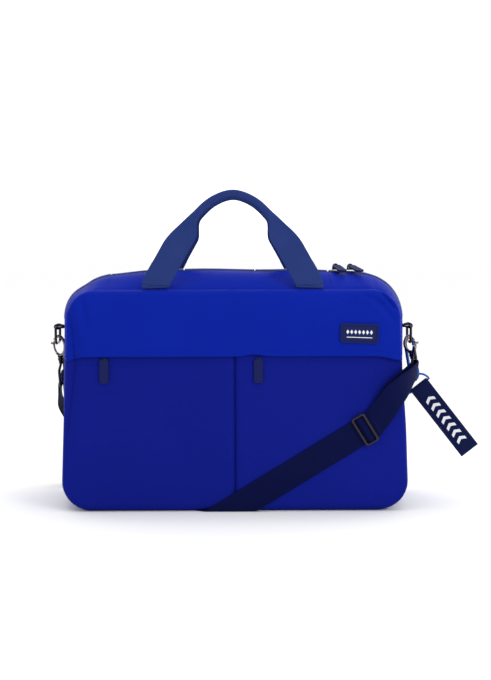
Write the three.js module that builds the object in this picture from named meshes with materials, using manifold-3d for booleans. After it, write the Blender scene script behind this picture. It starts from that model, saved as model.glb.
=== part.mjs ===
// Soft laptop briefcase with two webbing handles, a clipped shoulder strap and a tag on a carabiner.
// Millimetres, +Z up, front towards -Y, +X to the right seen from the front.
// Origin: middle of the base, on the surface that the bag stands on.
import * as THREE from "three";
import Module from "manifold-3d";
import { mergeVertices } from "three/addons/utils/BufferGeometryUtils.js";

const wasm = await Module();
wasm.setup();

// ---- driving dimensions ----------------------------------------------------------------------
const GAP = 0.3; // between pieces that touch
const FABRIC = 2.5; // coated fabric with its foam
const WEBBING = 1.6; // thickness of all straps
const STRAP_HALF = 16; // half width of handles and shoulder strap

const SHELL_HALF_DEPTH = 61; // gusset, seam to middle
const SHELL_WALL = 4; // padded gusset
const PANEL = 5; // padded front and back panels
const FRONT_SEAM = -SHELL_HALF_DEPTH; // y of the front panel's inner face
const FRONT_FACE = FRONT_SEAM - PANEL; // y of the front panel's outer face
const BACK_FACE = SHELL_HALF_DEPTH + PANEL;
const POCKET_FACE = -80; // y of the pockets' outer face
const LIP_FACE = -83.5; // y of the upper panel, which hangs over the pocket zips
const LIP_BOTTOM = 184;
const POCKET_TOP = LIP_BOTTOM + 3;
const LIP_ROOT = LIP_BOTTOM + 12; // where the lip comes off the padded panel behind it
const POCKET_SEAM = 2; // x of the seam between the two pockets

// Outline of the shell where it meets the panels, and at the middle of its depth, where it bulges.
const SEAM = { halfLow: 203, halfHigh: 196, top: 262, lowRadius: 34, highRadius: 34 };
const MIDDLE = { halfLow: 211, halfHigh: 207, top: 284, lowRadius: 36, highRadius: 60 };

const LID_LEFT = -150; // the length of the top that opens
const LID_RIGHT = 117;
const LID_SPARE = 16; // extra length that is cut off flat at the ends of the flaps

const HANDLE_FOOT = 91; // x of the middle of a handle's foot
const HANDLE_BASE = 264; // z where a handle leaves its seam
const HANDLE_CREST = 381;
const HANDLE_LEAN = THREE.MathUtils.degToRad(16);

const RING_X = 217; // plane of the side rings
const RING_BAR_Z = 215.5;
const RING_BOW_Z = 195.5;
const RING_HALF = 17.6; // half width of a side ring, to the middle of its wire
const RING_WIRE = 1.6; // radius
const EYE_DISTANCE = 54; // from a hook's claw to the bar that holds the strap

// ---- materials -------------------------------------------------------------------------------
const finish = (color, roughness, metalness) => ({ color, roughness, metalness });
const FINISH = {
  nylon: finish(0x11219a, 0.45, 0),
  nylonDark: finish(0x121b7d, 0.5, 0),
  lining: finish(0x2a2f45, 0.8, 0),
  handle: finish(0x324796, 0.75, 0),
  strap: finish(0x1c2664, 0.8, 0),
  tag: finish(0x20294f, 0.8, 0),
  rubber: finish(0x1e2564, 0.55, 0),
  tape: finish(0x10163c, 0.7, 0),
  gunmetal: finish(0x3a3437, 0.25, 1),
  blueMetal: finish(0x23468c, 0.3, 0.9),
  board: finish(0x1d1d20, 0.7, 0),
};

const bag = new THREE.Group();

function add(name, geometry, style, parent = bag) {
  const mesh = new THREE.Mesh(geometry, new THREE.MeshStandardMaterial(FINISH[style]));
  mesh.name = name;
  parent.add(mesh);
  return mesh;
}

// ---- solids ----------------------------------------------------------------------------------
const vec = (x, y, z) => new THREE.Vector3(x, y, z);

function enclosedVolume(geometry) {
  const position = geometry.getAttribute("position");
  const corners = [vec(), vec(), vec()];
  let volume = 0;
  for (let i = 0; i < geometry.index.count; i += 3) {
    corners.forEach((corner, k) => corner.fromBufferAttribute(position, geometry.index.getX(i + k)));
    volume += corners[0].dot(corners[1].clone().cross(corners[2])) / 6;
  }
  return volume;
}

function facingOut(geometry) {
  if (enclosedVolume(geometry) < 0) geometry.index.array.reverse();
  return geometry;
}

function indexed(points, triangles) {
  const geometry = new THREE.BufferGeometry();
  geometry.setAttribute("position", new THREE.Float32BufferAttribute(points.flatMap((p) => p.toArray()), 3));
  geometry.setIndex(triangles);
  return facingOut(geometry);
}

// A closed sheet: outer and inner are rows of points that lie over each other.
function sheetSolid(outer, inner) {
  const rows = outer.length;
  const columns = outer[0].length;
  const points = [...outer.flat(), ...inner.flat()];
  const triangles = [];
  const quad = (a, b, c, d) => triangles.push(a, b, c, a, c, d);
  const at = (side, r, c) => side * rows * columns + r * columns + c;
  for (let r = 0; r < rows - 1; r++) {
    for (let c = 0; c < columns - 1; c++) {
      quad(at(0, r, c), at(0, r + 1, c), at(0, r + 1, c + 1), at(0, r, c + 1));
      quad(at(1, r, c), at(1, r, c + 1), at(1, r + 1, c + 1), at(1, r + 1, c));
    }
    quad(at(0, r, 0), at(1, r, 0), at(1, r + 1, 0), at(0, r + 1, 0));
    quad(at(0, r + 1, columns - 1), at(1, r + 1, columns - 1), at(1, r, columns - 1), at(0, r, columns - 1));
  }
  for (let c = 0; c < columns - 1; c++) {
    quad(at(0, 0, c), at(0, 0, c + 1), at(1, 0, c + 1), at(1, 0, c));
    const last = rows - 1;
    quad(at(0, last, c + 1), at(0, last, c), at(1, last, c), at(1, last, c + 1));
  }
  return indexed(points, triangles);
}

// Webbing along stations [centre, half-width vector]; it is flat across and bends along its length.
function webbing(stations, thickness = WEBBING) {
  const rows = stations.map(([centre, half], i) => {
    const before = stations[Math.max(i - 1, 0)][0];
    const after = stations[Math.min(i + 1, stations.length - 1)][0];
    const normal = after.clone().sub(before).cross(half).normalize().multiplyScalar(thickness / 2);
    const edge = (side, face) => centre.clone().addScaledVector(half, side).addScaledVector(normal, face);
    return { outer: [edge(-1, 1), edge(1, 1)], inner: [edge(-1, -1), edge(1, -1)] };
  });
  return sheetSolid(rows.map((r) => r.outer), rows.map((r) => r.inner));
}

// Round wire along a closed curve that lies in one plane with the given normal.
function wireLoop(curve, radius, normal, steps = 28, sides = 8) {
  const points = [];
  const triangles = [];
  for (let i = 0; i < steps; i++) {
    const centre = curve.getPointAt(i / steps);
    const across = curve.getTangentAt(i / steps).cross(normal).normalize();
    for (let k = 0; k < sides; k++) {
      const angle = (2 * Math.PI * k) / sides;
      const point = centre.clone().addScaledVector(across, radius * Math.cos(angle));
      points.push(point.addScaledVector(normal, radius * Math.sin(angle)));
      const [a, b] = [i * sides + k, i * sides + ((k + 1) % sides)];
      const [c, d] = [a, b].map((index) => (index + sides) % (steps * sides));
      triangles.push(a, b, d, a, d, c);
    }
  }
  return indexed(points, triangles);
}

function toSolid(geometry) {
  const bare = geometry.clone();
  bare.deleteAttribute("normal");
  bare.deleteAttribute("uv");
  const merged = mergeVertices(bare, 1e-4);
  return new wasm.Manifold(
    new wasm.Mesh({
      numProp: 3,
      vertProperties: new Float32Array(merged.getAttribute("position").array),
      triVerts: new Uint32Array(merged.index.array),
    }),
  );
}

function toGeometry(solid) {
  const mesh = solid.getMesh();
  const geometry = new THREE.BufferGeometry();
  geometry.setAttribute("position", new THREE.BufferAttribute(mesh.vertProperties, 3));
  geometry.setIndex(new THREE.BufferAttribute(mesh.triVerts, 1));
  return geometry;
}

function block(low, high) {
  const size = high.map((value, i) => value - low[i]);
  const geometry = new THREE.BoxGeometry(...size);
  return geometry.translate(...low.map((value, i) => value + size[i] / 2));
}

// A shape drawn in X and Z, extruded along Y from yLow to yHigh.
function slab(shape, yLow, yHigh, curveSegments = 6) {
  const geometry = new THREE.ExtrudeGeometry(shape, { depth: yHigh - yLow, bevelEnabled: false, curveSegments });
  return geometry.rotateX(Math.PI / 2).translate(0, yHigh, 0);
}

// A shape drawn in Y and Z, extruded along X from xLow to xHigh.
function beam(shape, xLow, xHigh, curveSegments = 6) {
  const geometry = new THREE.ExtrudeGeometry(shape, { depth: xHigh - xLow, bevelEnabled: false, curveSegments });
  return geometry.rotateY(Math.PI / 2).rotateX(Math.PI / 2).translate(xLow, 0, 0);
}

function roundedRectangle(width, height, radius, Kind = THREE.Shape) {
  const shape = new Kind();
  const [x, y] = [width / 2 - radius, height / 2 - radius];
  shape.absarc(x, y, radius, 0, Math.PI / 2);
  shape.absarc(-x, y, radius, Math.PI / 2, Math.PI);
  shape.absarc(-x, -y, radius, Math.PI, 1.5 * Math.PI);
  shape.absarc(x, -y, radius, 1.5 * Math.PI, 2 * Math.PI);
  shape.closePath();
  return shape;
}

// The part of a geometry between two planes across X.
function between(geometry, xLow, xHigh) {
  return toGeometry(toSolid(geometry).intersect(toSolid(block([xLow, -200, -1], [xHigh, 200, 400]))));
}

function mirrored(geometry) {
  return facingOut(geometry.clone().scale(-1, 1, 1));
}

// ---- the shell's curved surface --------------------------------------------------------------
const COUNT = { floor: 2, low: 6, side: 5, high: 8, top: 3 };
const LOW_CORNER = COUNT.floor;
const SIDE_START = LOW_CORNER + COUNT.low;
const HIGH_CORNER = SIDE_START + COUNT.side;
const TOP_START = HIGH_CORNER + COUNT.high;
const TOP_MIDDLE = TOP_START + COUNT.top;

// Right half of an outline, from the middle of the floor round to the middle of the top.
function halfOutline(spec, inset = 0) {
  const halfLow = spec.halfLow - inset;
  const halfHigh = spec.halfHigh - inset;
  const lowRadius = spec.lowRadius - inset;
  const highRadius = spec.highRadius - inset;
  const top = spec.top - inset;
  const lowCentre = new THREE.Vector2(halfLow - lowRadius, inset + lowRadius);
  const highCentre = new THREE.Vector2(halfHigh - highRadius, top - highRadius);
  const points = [];
  const line = (from, to, count) => {
    for (let i = 0; i < count; i++) points.push(from.clone().lerp(to, i / count));
  };
  const arc = (centre, radius, start, count) => {
    for (let i = 0; i < count; i++) {
      const angle = start + (Math.PI / 2) * (i / count);
      points.push(centre.clone().add(new THREE.Vector2(Math.cos(angle), Math.sin(angle)).multiplyScalar(radius)));
    }
  };
  const middleTop = new THREE.Vector2(0, top);
  line(new THREE.Vector2(0, inset), new THREE.Vector2(lowCentre.x, inset), COUNT.floor);
  arc(lowCentre, lowRadius, -Math.PI / 2, COUNT.low);
  line(new THREE.Vector2(halfLow, lowCentre.y), new THREE.Vector2(halfHigh, highCentre.y), COUNT.side);
  arc(highCentre, highRadius, 0, COUNT.high);
  line(new THREE.Vector2(highCentre.x, top), middleTop, COUNT.top);
  points.push(middleTop);
  return points;
}

function outlineShape(spec, inset = 0) {
  const right = halfOutline(spec, inset);
  const left = right.slice(1, -1).reverse().map((p) => new THREE.Vector2(-p.x, p.y));
  return new THREE.Shape([...right, ...left]);
}

// A point of the shell: i counts along the outline (negative on the left), v runs -1 to 1 in depth.
function shellPoint(i, v, inset) {
  const along = (points) => {
    const index = Math.min(Math.abs(i), points.length - 1 - 1e-9);
    const whole = Math.floor(index);
    return points[whole].clone().lerp(points[whole + 1], index - whole);
  };
  const seam = along(halfOutline(SEAM, inset));
  const middle = along(halfOutline(MIDDLE, inset));
  const point = seam.lerp(middle, 1 - v * v);
  return vec(Math.sign(i || 1) * point.x, v * SHELL_HALF_DEPTH, point.y);
}

function spread(low, high, count) {
  return Array.from({ length: count + 1 }, (_, k) => low + ((high - low) * k) / count);
}

function shellPatch(from, to, [vLow, vHigh], { outset = 0, inset = SHELL_WALL, columns = 4 } = {}) {
  const inside = [];
  for (let i = Math.floor(from) + 1; i < to; i++) inside.push(i);
  const rows = [from, ...inside, to];
  const across = spread(vLow, vHigh, columns);
  const surface = (depth) => rows.map((i) => across.map((v) => shellPoint(i, v, depth)));
  return sheetSolid(surface(-outset), surface(inset));
}

// Index along the top of the outline that lies at a given |x|.
function topIndex(x) {
  const flat = MIDDLE.halfHigh - MIDDLE.highRadius;
  if (Math.abs(x) <= flat) return TOP_MIDDLE - (COUNT.top * Math.abs(x)) / flat;
  const angle = Math.acos((Math.abs(x) - flat) / MIDDLE.highRadius);
  return TOP_START - COUNT.high * (1 - angle / (Math.PI / 2));
}

const FULL_DEPTH = [-1 + GAP / SHELL_HALF_DEPTH, 1 - GAP / SHELL_HALF_DEPTH];
const SMALL = 0.012; // a gap of about 0.3 mm, in steps along the outline
const SIDE_LOW = SIDE_START + 0.3; // where the bottom gusset ends
const SIDE_HIGH = HIGH_CORNER + 1.2; // where the top corner begins

// ---- the shoulder strap's route --------------------------------------------------------------
const STRAP_SLOPE = THREE.MathUtils.degToRad(31.5);
const STRAP_ALONG = vec(Math.cos(STRAP_SLOPE), 0, Math.sin(STRAP_SLOPE));
const STRAP_ACROSS = vec(-Math.sin(STRAP_SLOPE), 0, Math.cos(STRAP_SLOPE));
const ADJUSTER = vec(155, 0, 98); // middle of the adjuster, in the plane of the bag's front
const LAYER_1 = POCKET_FACE - GAP - WEBBING / 2 - 0.2; // y of the layer against the bag
const LAYER_2 = LAYER_1 - WEBBING - 1.1; // y of the layer over it
const FLOOR_1 = 1; // heights of the layers on the floor
const FLOOR_2 = 3.4;
const FLOOR_3 = 5.8;
const FOLD = 1.2; // radius of a fold
const REAR_Y = 96; // middle of the folds behind the bag
const UNDER_X = -114; // where the strap comes out behind

const onFront = (s, y) => vec(ADJUSTER.x, y, ADJUSTER.z).addScaledVector(STRAP_ALONG, s);
const across = STRAP_ACROSS.clone().multiplyScalar(STRAP_HALF);
const slantHalf = STRAP_HALF / Math.sin(STRAP_SLOPE);
const slantShift = 1 / Math.tan(STRAP_SLOPE);
const edgeX = ADJUSTER.x - ADJUSTER.z * slantShift; // where the middle line meets the floor

// The stretch that wraps under the front edge and runs below the base to the back.
const underStretch = [
  [vec(edgeX + 6 * slantShift, LAYER_1, 6), vec(-slantHalf, 0, 0)],
  [vec(edgeX + 3.4 * slantShift, LAYER_1 + 0.2, 3.4), vec(-slantHalf, 0, 0)],
  [vec(edgeX + 1.8 * slantShift, LAYER_1 + 0.9, 1.8), vec(-slantHalf, 0, 0)],
  [vec(edgeX, LAYER_1 + 2.2, FLOOR_1), vec(-slantHalf, 0, 0)],
  [vec(edgeX - 9 * slantShift, LAYER_1 + 11, FLOOR_1), vec(-slantHalf, 0, 0)],
  [vec(-62, -44, FLOOR_1), vec(-8.4, -13.6, 0)],
  [vec(-88, -20, FLOOR_1), vec(-12, -10.6, 0)],
  [vec(-106, 12, FLOOR_1), vec(-15, -5.6, 0)],
  [vec(UNDER_X, 48, FLOOR_1), vec(-STRAP_HALF, 0, 0)],
  [vec(UNDER_X, REAR_Y - STRAP_HALF - 5, FLOOR_1), vec(-STRAP_HALF, 0, 0)],
];

// Half a turn from one layer to the next, bulging towards the unit vector out.
function turn(centre, out, half, low, high) {
  return spread(0, Math.PI, 4).map((angle) => {
    const point = centre.clone().addScaledVector(out, FOLD * Math.sin(angle));
    point.z = (low + high) / 2 - ((high - low) / 2) * Math.cos(angle);
    return [point, half];
  });
}

const level = (x, z) => [vec(x, REAR_Y, z), vec(0, -STRAP_HALF, 0)];
const rearStretch = [
  ...turn(
    vec(UNDER_X, REAR_Y, 0), vec(-1, 1, 0).normalize(), vec(-STRAP_HALF, -STRAP_HALF, 0), FLOOR_1, FLOOR_2,
  ),
  level(-88, FLOOR_2),
  level(-62, 2.2),
  level(-40, FLOOR_1),
  level(40, FLOOR_1),
  ...turn(vec(110, REAR_Y, 0), vec(1, 0, 0), vec(0, -STRAP_HALF, 0), FLOOR_1, FLOOR_2),
  level(10, FLOOR_2),
  level(-38, FLOOR_2 + 0.6),
  level(-68, FLOOR_3),
  level(-140, FLOOR_3),
  level(-172, 4.4),
];

// Frames of the two swivel hooks: the point on the ring's wire, and the direction of the swivel.
const HOOK = {
  right: { side: 1, claw: vec(RING_X, -9, RING_BOW_Z), tilt: THREE.MathUtils.degToRad(-54) },
  left: { side: -1, claw: vec(-RING_X, 8, RING_BOW_Z), tilt: THREE.MathUtils.degToRad(28) },
};
for (const hook of Object.values(HOOK)) {
  hook.down = vec(0, Math.sin(hook.tilt), -Math.cos(hook.tilt));
  hook.bar = vec(0, Math.cos(hook.tilt), Math.sin(hook.tilt));
  hook.eye = hook.claw.clone().addScaledVector(hook.down, EYE_DISTANCE);
}

const LOOP_RADIUS = 1.7 + GAP + WEBBING / 2 + 0.2; // round the bar of a swivel eye

// Half a turn of strap round an eye's bar, from the outer side over the far side to the inner side.
function roundBar(hook, from, to) {
  return spread(from, to, 5).map((angle) => {
    const point = hook.eye.clone().addScaledVector(hook.down, -LOOP_RADIUS * Math.sin(angle));
    point.x += hook.side * LOOP_RADIUS * Math.cos(angle);
    return point;
  });
}

// Between the adjuster and the right eye two layers lie over each other: [middle, half width].
const doubledStretch = [
  [vec(178, -85.2, 123.5), vec(-9.6, 0, 12.8)],
  [vec(188.5, -87, 138), vec(-10.6, -1, 11.9)],
  [vec(200, -85.5, 150), vec(-9, -3.4, 12.8)],
  [vec(210, -79, 160), vec(-5.2, -6.4, 13.7)],
  [vec(215.5, -70, 165.5), vec(-1.4, -10.6, 11.9)],
];

function strapStations() {
  const { left, right } = HOOK;
  const leftHalf = left.bar.clone().multiplyScalar(-STRAP_HALF);
  const rightHalf = right.bar.clone().multiplyScalar(-STRAP_HALF);
  const drop = [
    [vec(-204, REAR_Y, 10), vec(0, -STRAP_HALF, 0)],
    [vec(-215, 95, 22), vec(0, -STRAP_HALF, 0)],
    [vec(-217, 90, 42), vec(0, -15.8, -2)],
    [vec(-213, 81, 62), vec(0, -15.6, -3.6)],
    [vec(-212, 70, 82), vec(0, -15.3, -4.6)],
    [vec(-217, 60, 101), vec(0, -14.8, -6)],
    [vec(-223, 51, 118), vec(0, -14.4, -7)],
    [vec(-222, 45, 133), leftHalf],
  ];
  const leftLoop = roundBar(left, 0, Math.PI).map((point) => [point, leftHalf]);
  const leftEnd = [
    [left.eye.clone().addScaledVector(left.down, 10).add(vec(LOOP_RADIUS, 0, 0)), leftHalf],
    [left.eye.clone().addScaledVector(left.down, 24).add(vec(LOOP_RADIUS, 0, 0)), leftHalf],
  ];
  const front = [
    [onFront(-125, LAYER_1), across],
    [onFront(-90, LAYER_1), across],
    [onFront(-20, LAYER_1), across],
    [onFront(-8.8, LAYER_1 - 0.1), across],
    [onFront(-5.6, LAYER_1 - 0.7), across],
    [onFront(0, LAYER_1 - 4.9), across],
    [onFront(5.4, LAYER_2 - 0.1), across],
    [onFront(9, LAYER_2), across],
  ];
  // The two layers are the middle line moved out and in along the strap's own normal.
  const layer = (face) =>
    doubledStretch.map(([centre, half], i) => {
      const before = i ? doubledStretch[i - 1][0] : onFront(9, LAYER_2);
      const after = i + 1 < doubledStretch.length ? doubledStretch[i + 1][0] : right.eye;
      const normal = after.clone().sub(before).cross(half).normalize();
      const apart = face * THREE.MathUtils.lerp(1.35, LOOP_RADIUS, (i + 1) / doubledStretch.length);
      return [centre.clone().addScaledVector(normal, apart), half];
    });
  const rightLoop = roundBar(right, 0, Math.PI).map((point) => [point, rightHalf]);
  const returned = [
    [onFront(12, LAYER_1), across],
    [onFront(4.5, LAYER_1), across],
  ];
  return [
    ...leftEnd.reverse(),
    ...leftLoop.reverse(),
    ...drop.reverse(),
    ...[...rearStretch].reverse(),
    ...[...underStretch].reverse(),
    ...front,
    ...layer(1),
    ...rightLoop,
    ...layer(-1).reverse(),
    ...returned,
  ];
}

// Shallow channel that the strap presses into the soft base.
const CHANNEL_DEPTH = 3;
const channel = toSolid(
  webbing(
    underStretch
      .slice(2)
      .map(([centre, half]) => [vec(centre.x, centre.y, 0), half.clone().multiplyScalar(1.12)])
      .map(([centre, half], i, all) => {
        if (i === 0) centre.y -= 14;
        if (i === all.length - 1) centre.y += 14;
        return [centre, half];
      }),
    2 * CHANNEL_DEPTH,
  ),
);
const overStrap = (geometry) => toGeometry(toSolid(geometry).subtract(channel));

// ---- shell: panels, gussets and base ---------------------------------------------------------
const panelShape = outlineShape(SEAM);
add("front_panel", overStrap(slab(panelShape, FRONT_FACE, FRONT_SEAM)), "lining");
add("back_panel", overStrap(slab(panelShape, SHELL_HALF_DEPTH, BACK_FACE)), "nylon");
add("bottom_gusset", overStrap(shellPatch(-SIDE_LOW, SIDE_LOW, FULL_DEPTH)), "nylonDark");
const sideGusset = shellPatch(SIDE_LOW + SMALL, SIDE_HIGH, FULL_DEPTH);
add("side_gusset_right", sideGusset, "nylon");
add("side_gusset_left", mirrored(sideGusset), "nylon");
const cornerStart = SIDE_HIGH + SMALL;
const cornerRight = shellPatch(cornerStart, topIndex(LID_RIGHT - LID_SPARE), FULL_DEPTH);
const cornerLeft = mirrored(shellPatch(cornerStart, topIndex(LID_LEFT + LID_SPARE), FULL_DEPTH));
add("top_corner_right", between(cornerRight, LID_RIGHT, 2 * LID_RIGHT), "nylon");
add("top_corner_left", between(cornerLeft, 2 * LID_LEFT, LID_LEFT), "nylon");
add("base_board", block([-165, -56, SHELL_WALL + 0.5], [165, 56, SHELL_WALL + 3]), "board");

// ---- laptop compartment ----------------------------------------------------------------------
const dividerShape = roundedRectangle(360, 196, 14);
add("laptop_divider", slab(dividerShape, 20, 27).translate(0, 0, 106.5), "lining");
const STRAP_HINGE = [59, 208]; // y and z where the closing strap is sewn on
add("laptop_strap", block([-19, 17, STRAP_HINGE[1] - 1], [19, STRAP_HINGE[0], STRAP_HINGE[1] + 1]), "strap");

// ---- front: upper panel and two zip pockets --------------------------------------------------
const profile = new THREE.Shape(
  [
    [FRONT_FACE - GAP, LIP_ROOT],
    [FRONT_FACE - GAP, 261],
    [FRONT_FACE - 6, 260],
    [FRONT_FACE - 13, 247],
    [LIP_FACE, 222],
    [LIP_FACE, LIP_BOTTOM],
    [LIP_FACE + FABRIC, LIP_BOTTOM],
    [LIP_FACE + FABRIC, LIP_ROOT],
  ].map(([y, z]) => new THREE.Vector2(y, z)),
);
const upperOutline = toSolid(slab(panelShape, LIP_FACE - 1, FRONT_FACE));
add("upper_front_panel", toGeometry(toSolid(beam(profile, -210, 210)).intersect(upperOutline)), "nylon");

function pocketPanel(xLow, xHigh) {
  const outer = toSolid(slab(panelShape, POCKET_FACE, FRONT_FACE - GAP));
  const hollow = toSolid(slab(outlineShape(SEAM, 3), POCKET_FACE + FABRIC, FRONT_FACE + 1));
  const cell = (margin, low, top) =>
    toSolid(block([xLow + margin, POCKET_FACE - 1, low], [xHigh - margin, FRONT_FACE + 2, top]));
  const tray = outer.intersect(cell(0, -1, POCKET_TOP)).subtract(hollow.intersect(cell(3, 6, POCKET_TOP + 9)));
  return toGeometry(tray.subtract(channel));
}
add("pocket_panel_left", pocketPanel(-210, POCKET_SEAM - GAP / 2), "nylonDark");
add("pocket_panel_right", pocketPanel(POCKET_SEAM + GAP / 2, 210), "nylonDark");
const pocketZip = (xLow, xHigh) => block([xLow, POCKET_FACE + 3, POCKET_TOP + 1], [xHigh, FRONT_FACE - 2, POCKET_TOP + 3.5]);
add("pocket_zip_left", pocketZip(-184, -3), "tape");
add("pocket_zip_right", pocketZip(7, 184), "tape");

// ---- back: sleeve for the handle tubes of a wheeled case -------------------------------------
const SLEEVE_HALF = 110;
const sleeveOuter = toSolid(block([-SLEEVE_HALF, BACK_FACE + GAP, 70], [SLEEVE_HALF, BACK_FACE + 12, 205]));
const sleeveInner = toSolid(block([-SLEEVE_HALF + 12, BACK_FACE - 1, 60], [SLEEVE_HALF - 12, BACK_FACE + 9.5, 215]));
add("luggage_sleeve", toGeometry(sleeveOuter.subtract(sleeveInner)), "nylon");

// ---- top: two flaps that open along the zip --------------------------------------------------
const CHAIN = { low: 0.35 / SHELL_HALF_DEPTH, high: 3.3 / SHELL_HALF_DEPTH };
const chainSkin = { outset: 2.3, inset: -GAP, columns: 1 };

function flap(vRange, options) {
  const right = shellPatch(topIndex(LID_RIGHT + LID_SPARE), TOP_MIDDLE, vRange, options);
  const left = shellPatch(topIndex(LID_LEFT - LID_SPARE), TOP_MIDDLE, vRange, options);
  const whole = toGeometry(toSolid(right).add(toSolid(mirrored(left))));
  return between(whole, LID_LEFT + GAP, LID_RIGHT - GAP);
}
add("top_flap_front", flap([FULL_DEPTH[0], -CHAIN.low], { inset: 3 }), "nylon");
add("top_flap_rear", flap([CHAIN.low, FULL_DEPTH[1]], { inset: 3 }), "nylon");
add("zip_chain_front", flap([-CHAIN.high, -CHAIN.low], chainSkin), "tape");
add("zip_chain_rear", flap([CHAIN.low, CHAIN.high], chainSkin), "tape");
const ZIP_END = HIGH_CORNER + 0.1;
const endSkin = { ...chainSkin, columns: 2 };
const zipEnd = (x) => shellPatch(ZIP_END, topIndex(x), [-CHAIN.high, CHAIN.high], endSkin);
add("zip_end_right", between(zipEnd(LID_RIGHT - LID_SPARE), LID_RIGHT, 2 * LID_RIGHT), "tape");
add("zip_end_left", between(mirrored(zipEnd(LID_LEFT + LID_SPARE)), 2 * LID_LEFT, LID_LEFT), "tape");

// ---- zip sliders and their pulls -------------------------------------------------------------
const PULL = { length: 28, width: 10.5, thickness: 2.4 };
const ZIP_TOP = MIDDLE.top + chainSkin.outset;

function pullGeometry() {
  const shape = roundedRectangle(PULL.width, PULL.length, 3);
  return slab(shape, -PULL.thickness / 2, PULL.thickness / 2, 3).translate(0, 0, -PULL.length / 2 - 1);
}

// A main slider straddles the chain; its pull lies on the top, turned towards the front.
function mainSlider(name, x, heading) {
  const body = block([x - 5, -4, ZIP_TOP + GAP], [x + 5, 4, ZIP_TOP + GAP + 3]);
  add(`${name}_slider`, body, "gunmetal");
  const lying = new THREE.Group();
  lying.position.set(x, 0, ZIP_TOP + 5.6);
  lying.rotation.set(0, 0, heading);
  const pull = add(`${name}_pull`, pullGeometry(), "rubber", lying);
  pull.rotation.x = THREE.MathUtils.degToRad(-83);
  bag.add(lying);
}
mainSlider("main_zip_inner", 126, THREE.MathUtils.degToRad(35));
mainSlider("main_zip_outer", 144, THREE.MathUtils.degToRad(42));

// A pocket slider hides behind the upper panel's lip, and its pull hangs out below it.
function pocketSlider(name, x) {
  add(`${name}_slider`, block([x - 4, -80.7, POCKET_TOP + 3.8], [x + 4, -70, POCKET_TOP + 7]), "gunmetal");
  add(`${name}_pull`, pullGeometry().translate(x, POCKET_FACE - 1.6, LIP_BOTTOM - 2), "rubber");
}
pocketSlider("left_pocket", -151);
pocketSlider("right_pocket", 30);

// ---- handles ---------------------------------------------------------------------------------
// Half of the handle's middle line, from its foot to its crest, in X and height above the foot.
const handleRise = HANDLE_CREST - HANDLE_BASE;
const handleLine = new THREE.CatmullRomCurve3(
  [
    vec(HANDLE_FOOT, 0, 0),
    vec(HANDLE_FOOT, 0, 0.04 * handleRise),
    vec(77, 0, 0.28 * handleRise),
    vec(58, 0, 0.58 * handleRise),
    vec(45, 0, 0.76 * handleRise),
    vec(24, 0, 0.93 * handleRise),
    vec(0, 0, handleRise),
  ],
  false,
  "centripetal",
);
const GRIP_START = 0.66; // share of the half length where the webbing folds into the grip
const GRIP = { half: 6, thickness: 8 };

function handleGeometry() {
  const half = spread(0, 1, 16).map((t) => {
    const point = handleLine.getPointAt(t);
    const tangent = handleLine.getTangentAt(t);
    const grip = THREE.MathUtils.smoothstep(t, GRIP_START - 0.05, GRIP_START + 0.05);
    return {
      point,
      sideways: vec(tangent.z, 0, -tangent.x),
      half: THREE.MathUtils.lerp(STRAP_HALF, GRIP.half, grip),
      thickness: THREE.MathUtils.lerp(WEBBING * 1.5, GRIP.thickness, grip),
    };
  });
  const flip = ({ point, sideways, half: width, thickness }) => ({
    point: vec(-point.x, 0, point.z),
    sideways: vec(-sideways.x, 0, sideways.z),
    half: width,
    thickness,
  });
  const whole = [...half, ...half.slice(0, -1).reverse().map(flip)];
  const face = (side) =>
    whole.map(({ point, sideways, half: width, thickness }) =>
      [-1, 1].map((edge) =>
        point.clone().addScaledVector(sideways, edge * width).add(vec(0, (side * thickness) / 2, 0)),
      ),
    );
  return sheetSolid(face(-1), face(1));
}

function handle(name, side) {
  const leaning = new THREE.Group();
  leaning.position.set(0, side * (SHELL_HALF_DEPTH + 3), HANDLE_BASE);
  leaning.rotation.x = side * HANDLE_LEAN;
  add(name, handleGeometry(), "handle", leaning);
  bag.add(leaning);
}
handle("front_handle", -1);
handle("rear_handle", 1);

// ---- name patch ------------------------------------------------------------------------------
const patch = slab(roundedRectangle(45, 23, 4), LIP_FACE - GAP - 1.6, LIP_FACE - GAP, 4);
add("name_patch", patch.rotateY(THREE.MathUtils.degToRad(2)).translate(148, 0, 211), "rubber");

// ---- side rings and swivel hooks -------------------------------------------------------------
function polygonLoop(points, radius) {
  const path = new THREE.CurvePath();
  const round = points.map((point, i) => {
    const before = points[(i + points.length - 1) % points.length].clone().sub(point).normalize();
    const after = points[(i + 1) % points.length].clone().sub(point).normalize();
    const start = point.clone().addScaledVector(before, radius);
    const end = point.clone().addScaledVector(after, radius);
    return { start, point, end };
  });
  round.forEach(({ start, point, end }, i) => {
    path.add(new THREE.QuadraticBezierCurve3(start, point, end));
    path.add(new THREE.LineCurve3(end, round[(i + 1) % round.length].start));
  });
  return path;
}

function sideRing(side) {
  const x = side * RING_X;
  const corners = [
    vec(x, -RING_HALF, RING_BAR_Z),
    vec(x, RING_HALF, RING_BAR_Z),
    vec(x, RING_HALF - 1, RING_BOW_Z),
    vec(x, -RING_HALF + 1, RING_BOW_Z),
  ];
  return wireLoop(polygonLoop(corners, 6), RING_WIRE, vec(1, 0, 0), 36);
}

// Webbing tab that comes out of the side seam, round the ring's bar and back.
function ringTab(side) {
  const radius = RING_WIRE + GAP + WEBBING / 2;
  const half = vec(0, 10.5, 0);
  const root = MIDDLE.halfHigh + 2.6;
  const at = (x, z) => [vec(side * x, 0, z), half];
  const round = spread(-Math.PI / 2, Math.PI / 2, 6).map((angle) =>
    at(RING_X + radius * Math.cos(angle), RING_BAR_Z + radius * Math.sin(angle)),
  );
  return webbing([at(root, RING_BAR_Z - radius), ...round, at(root, RING_BAR_Z + radius)]);
}

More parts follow.
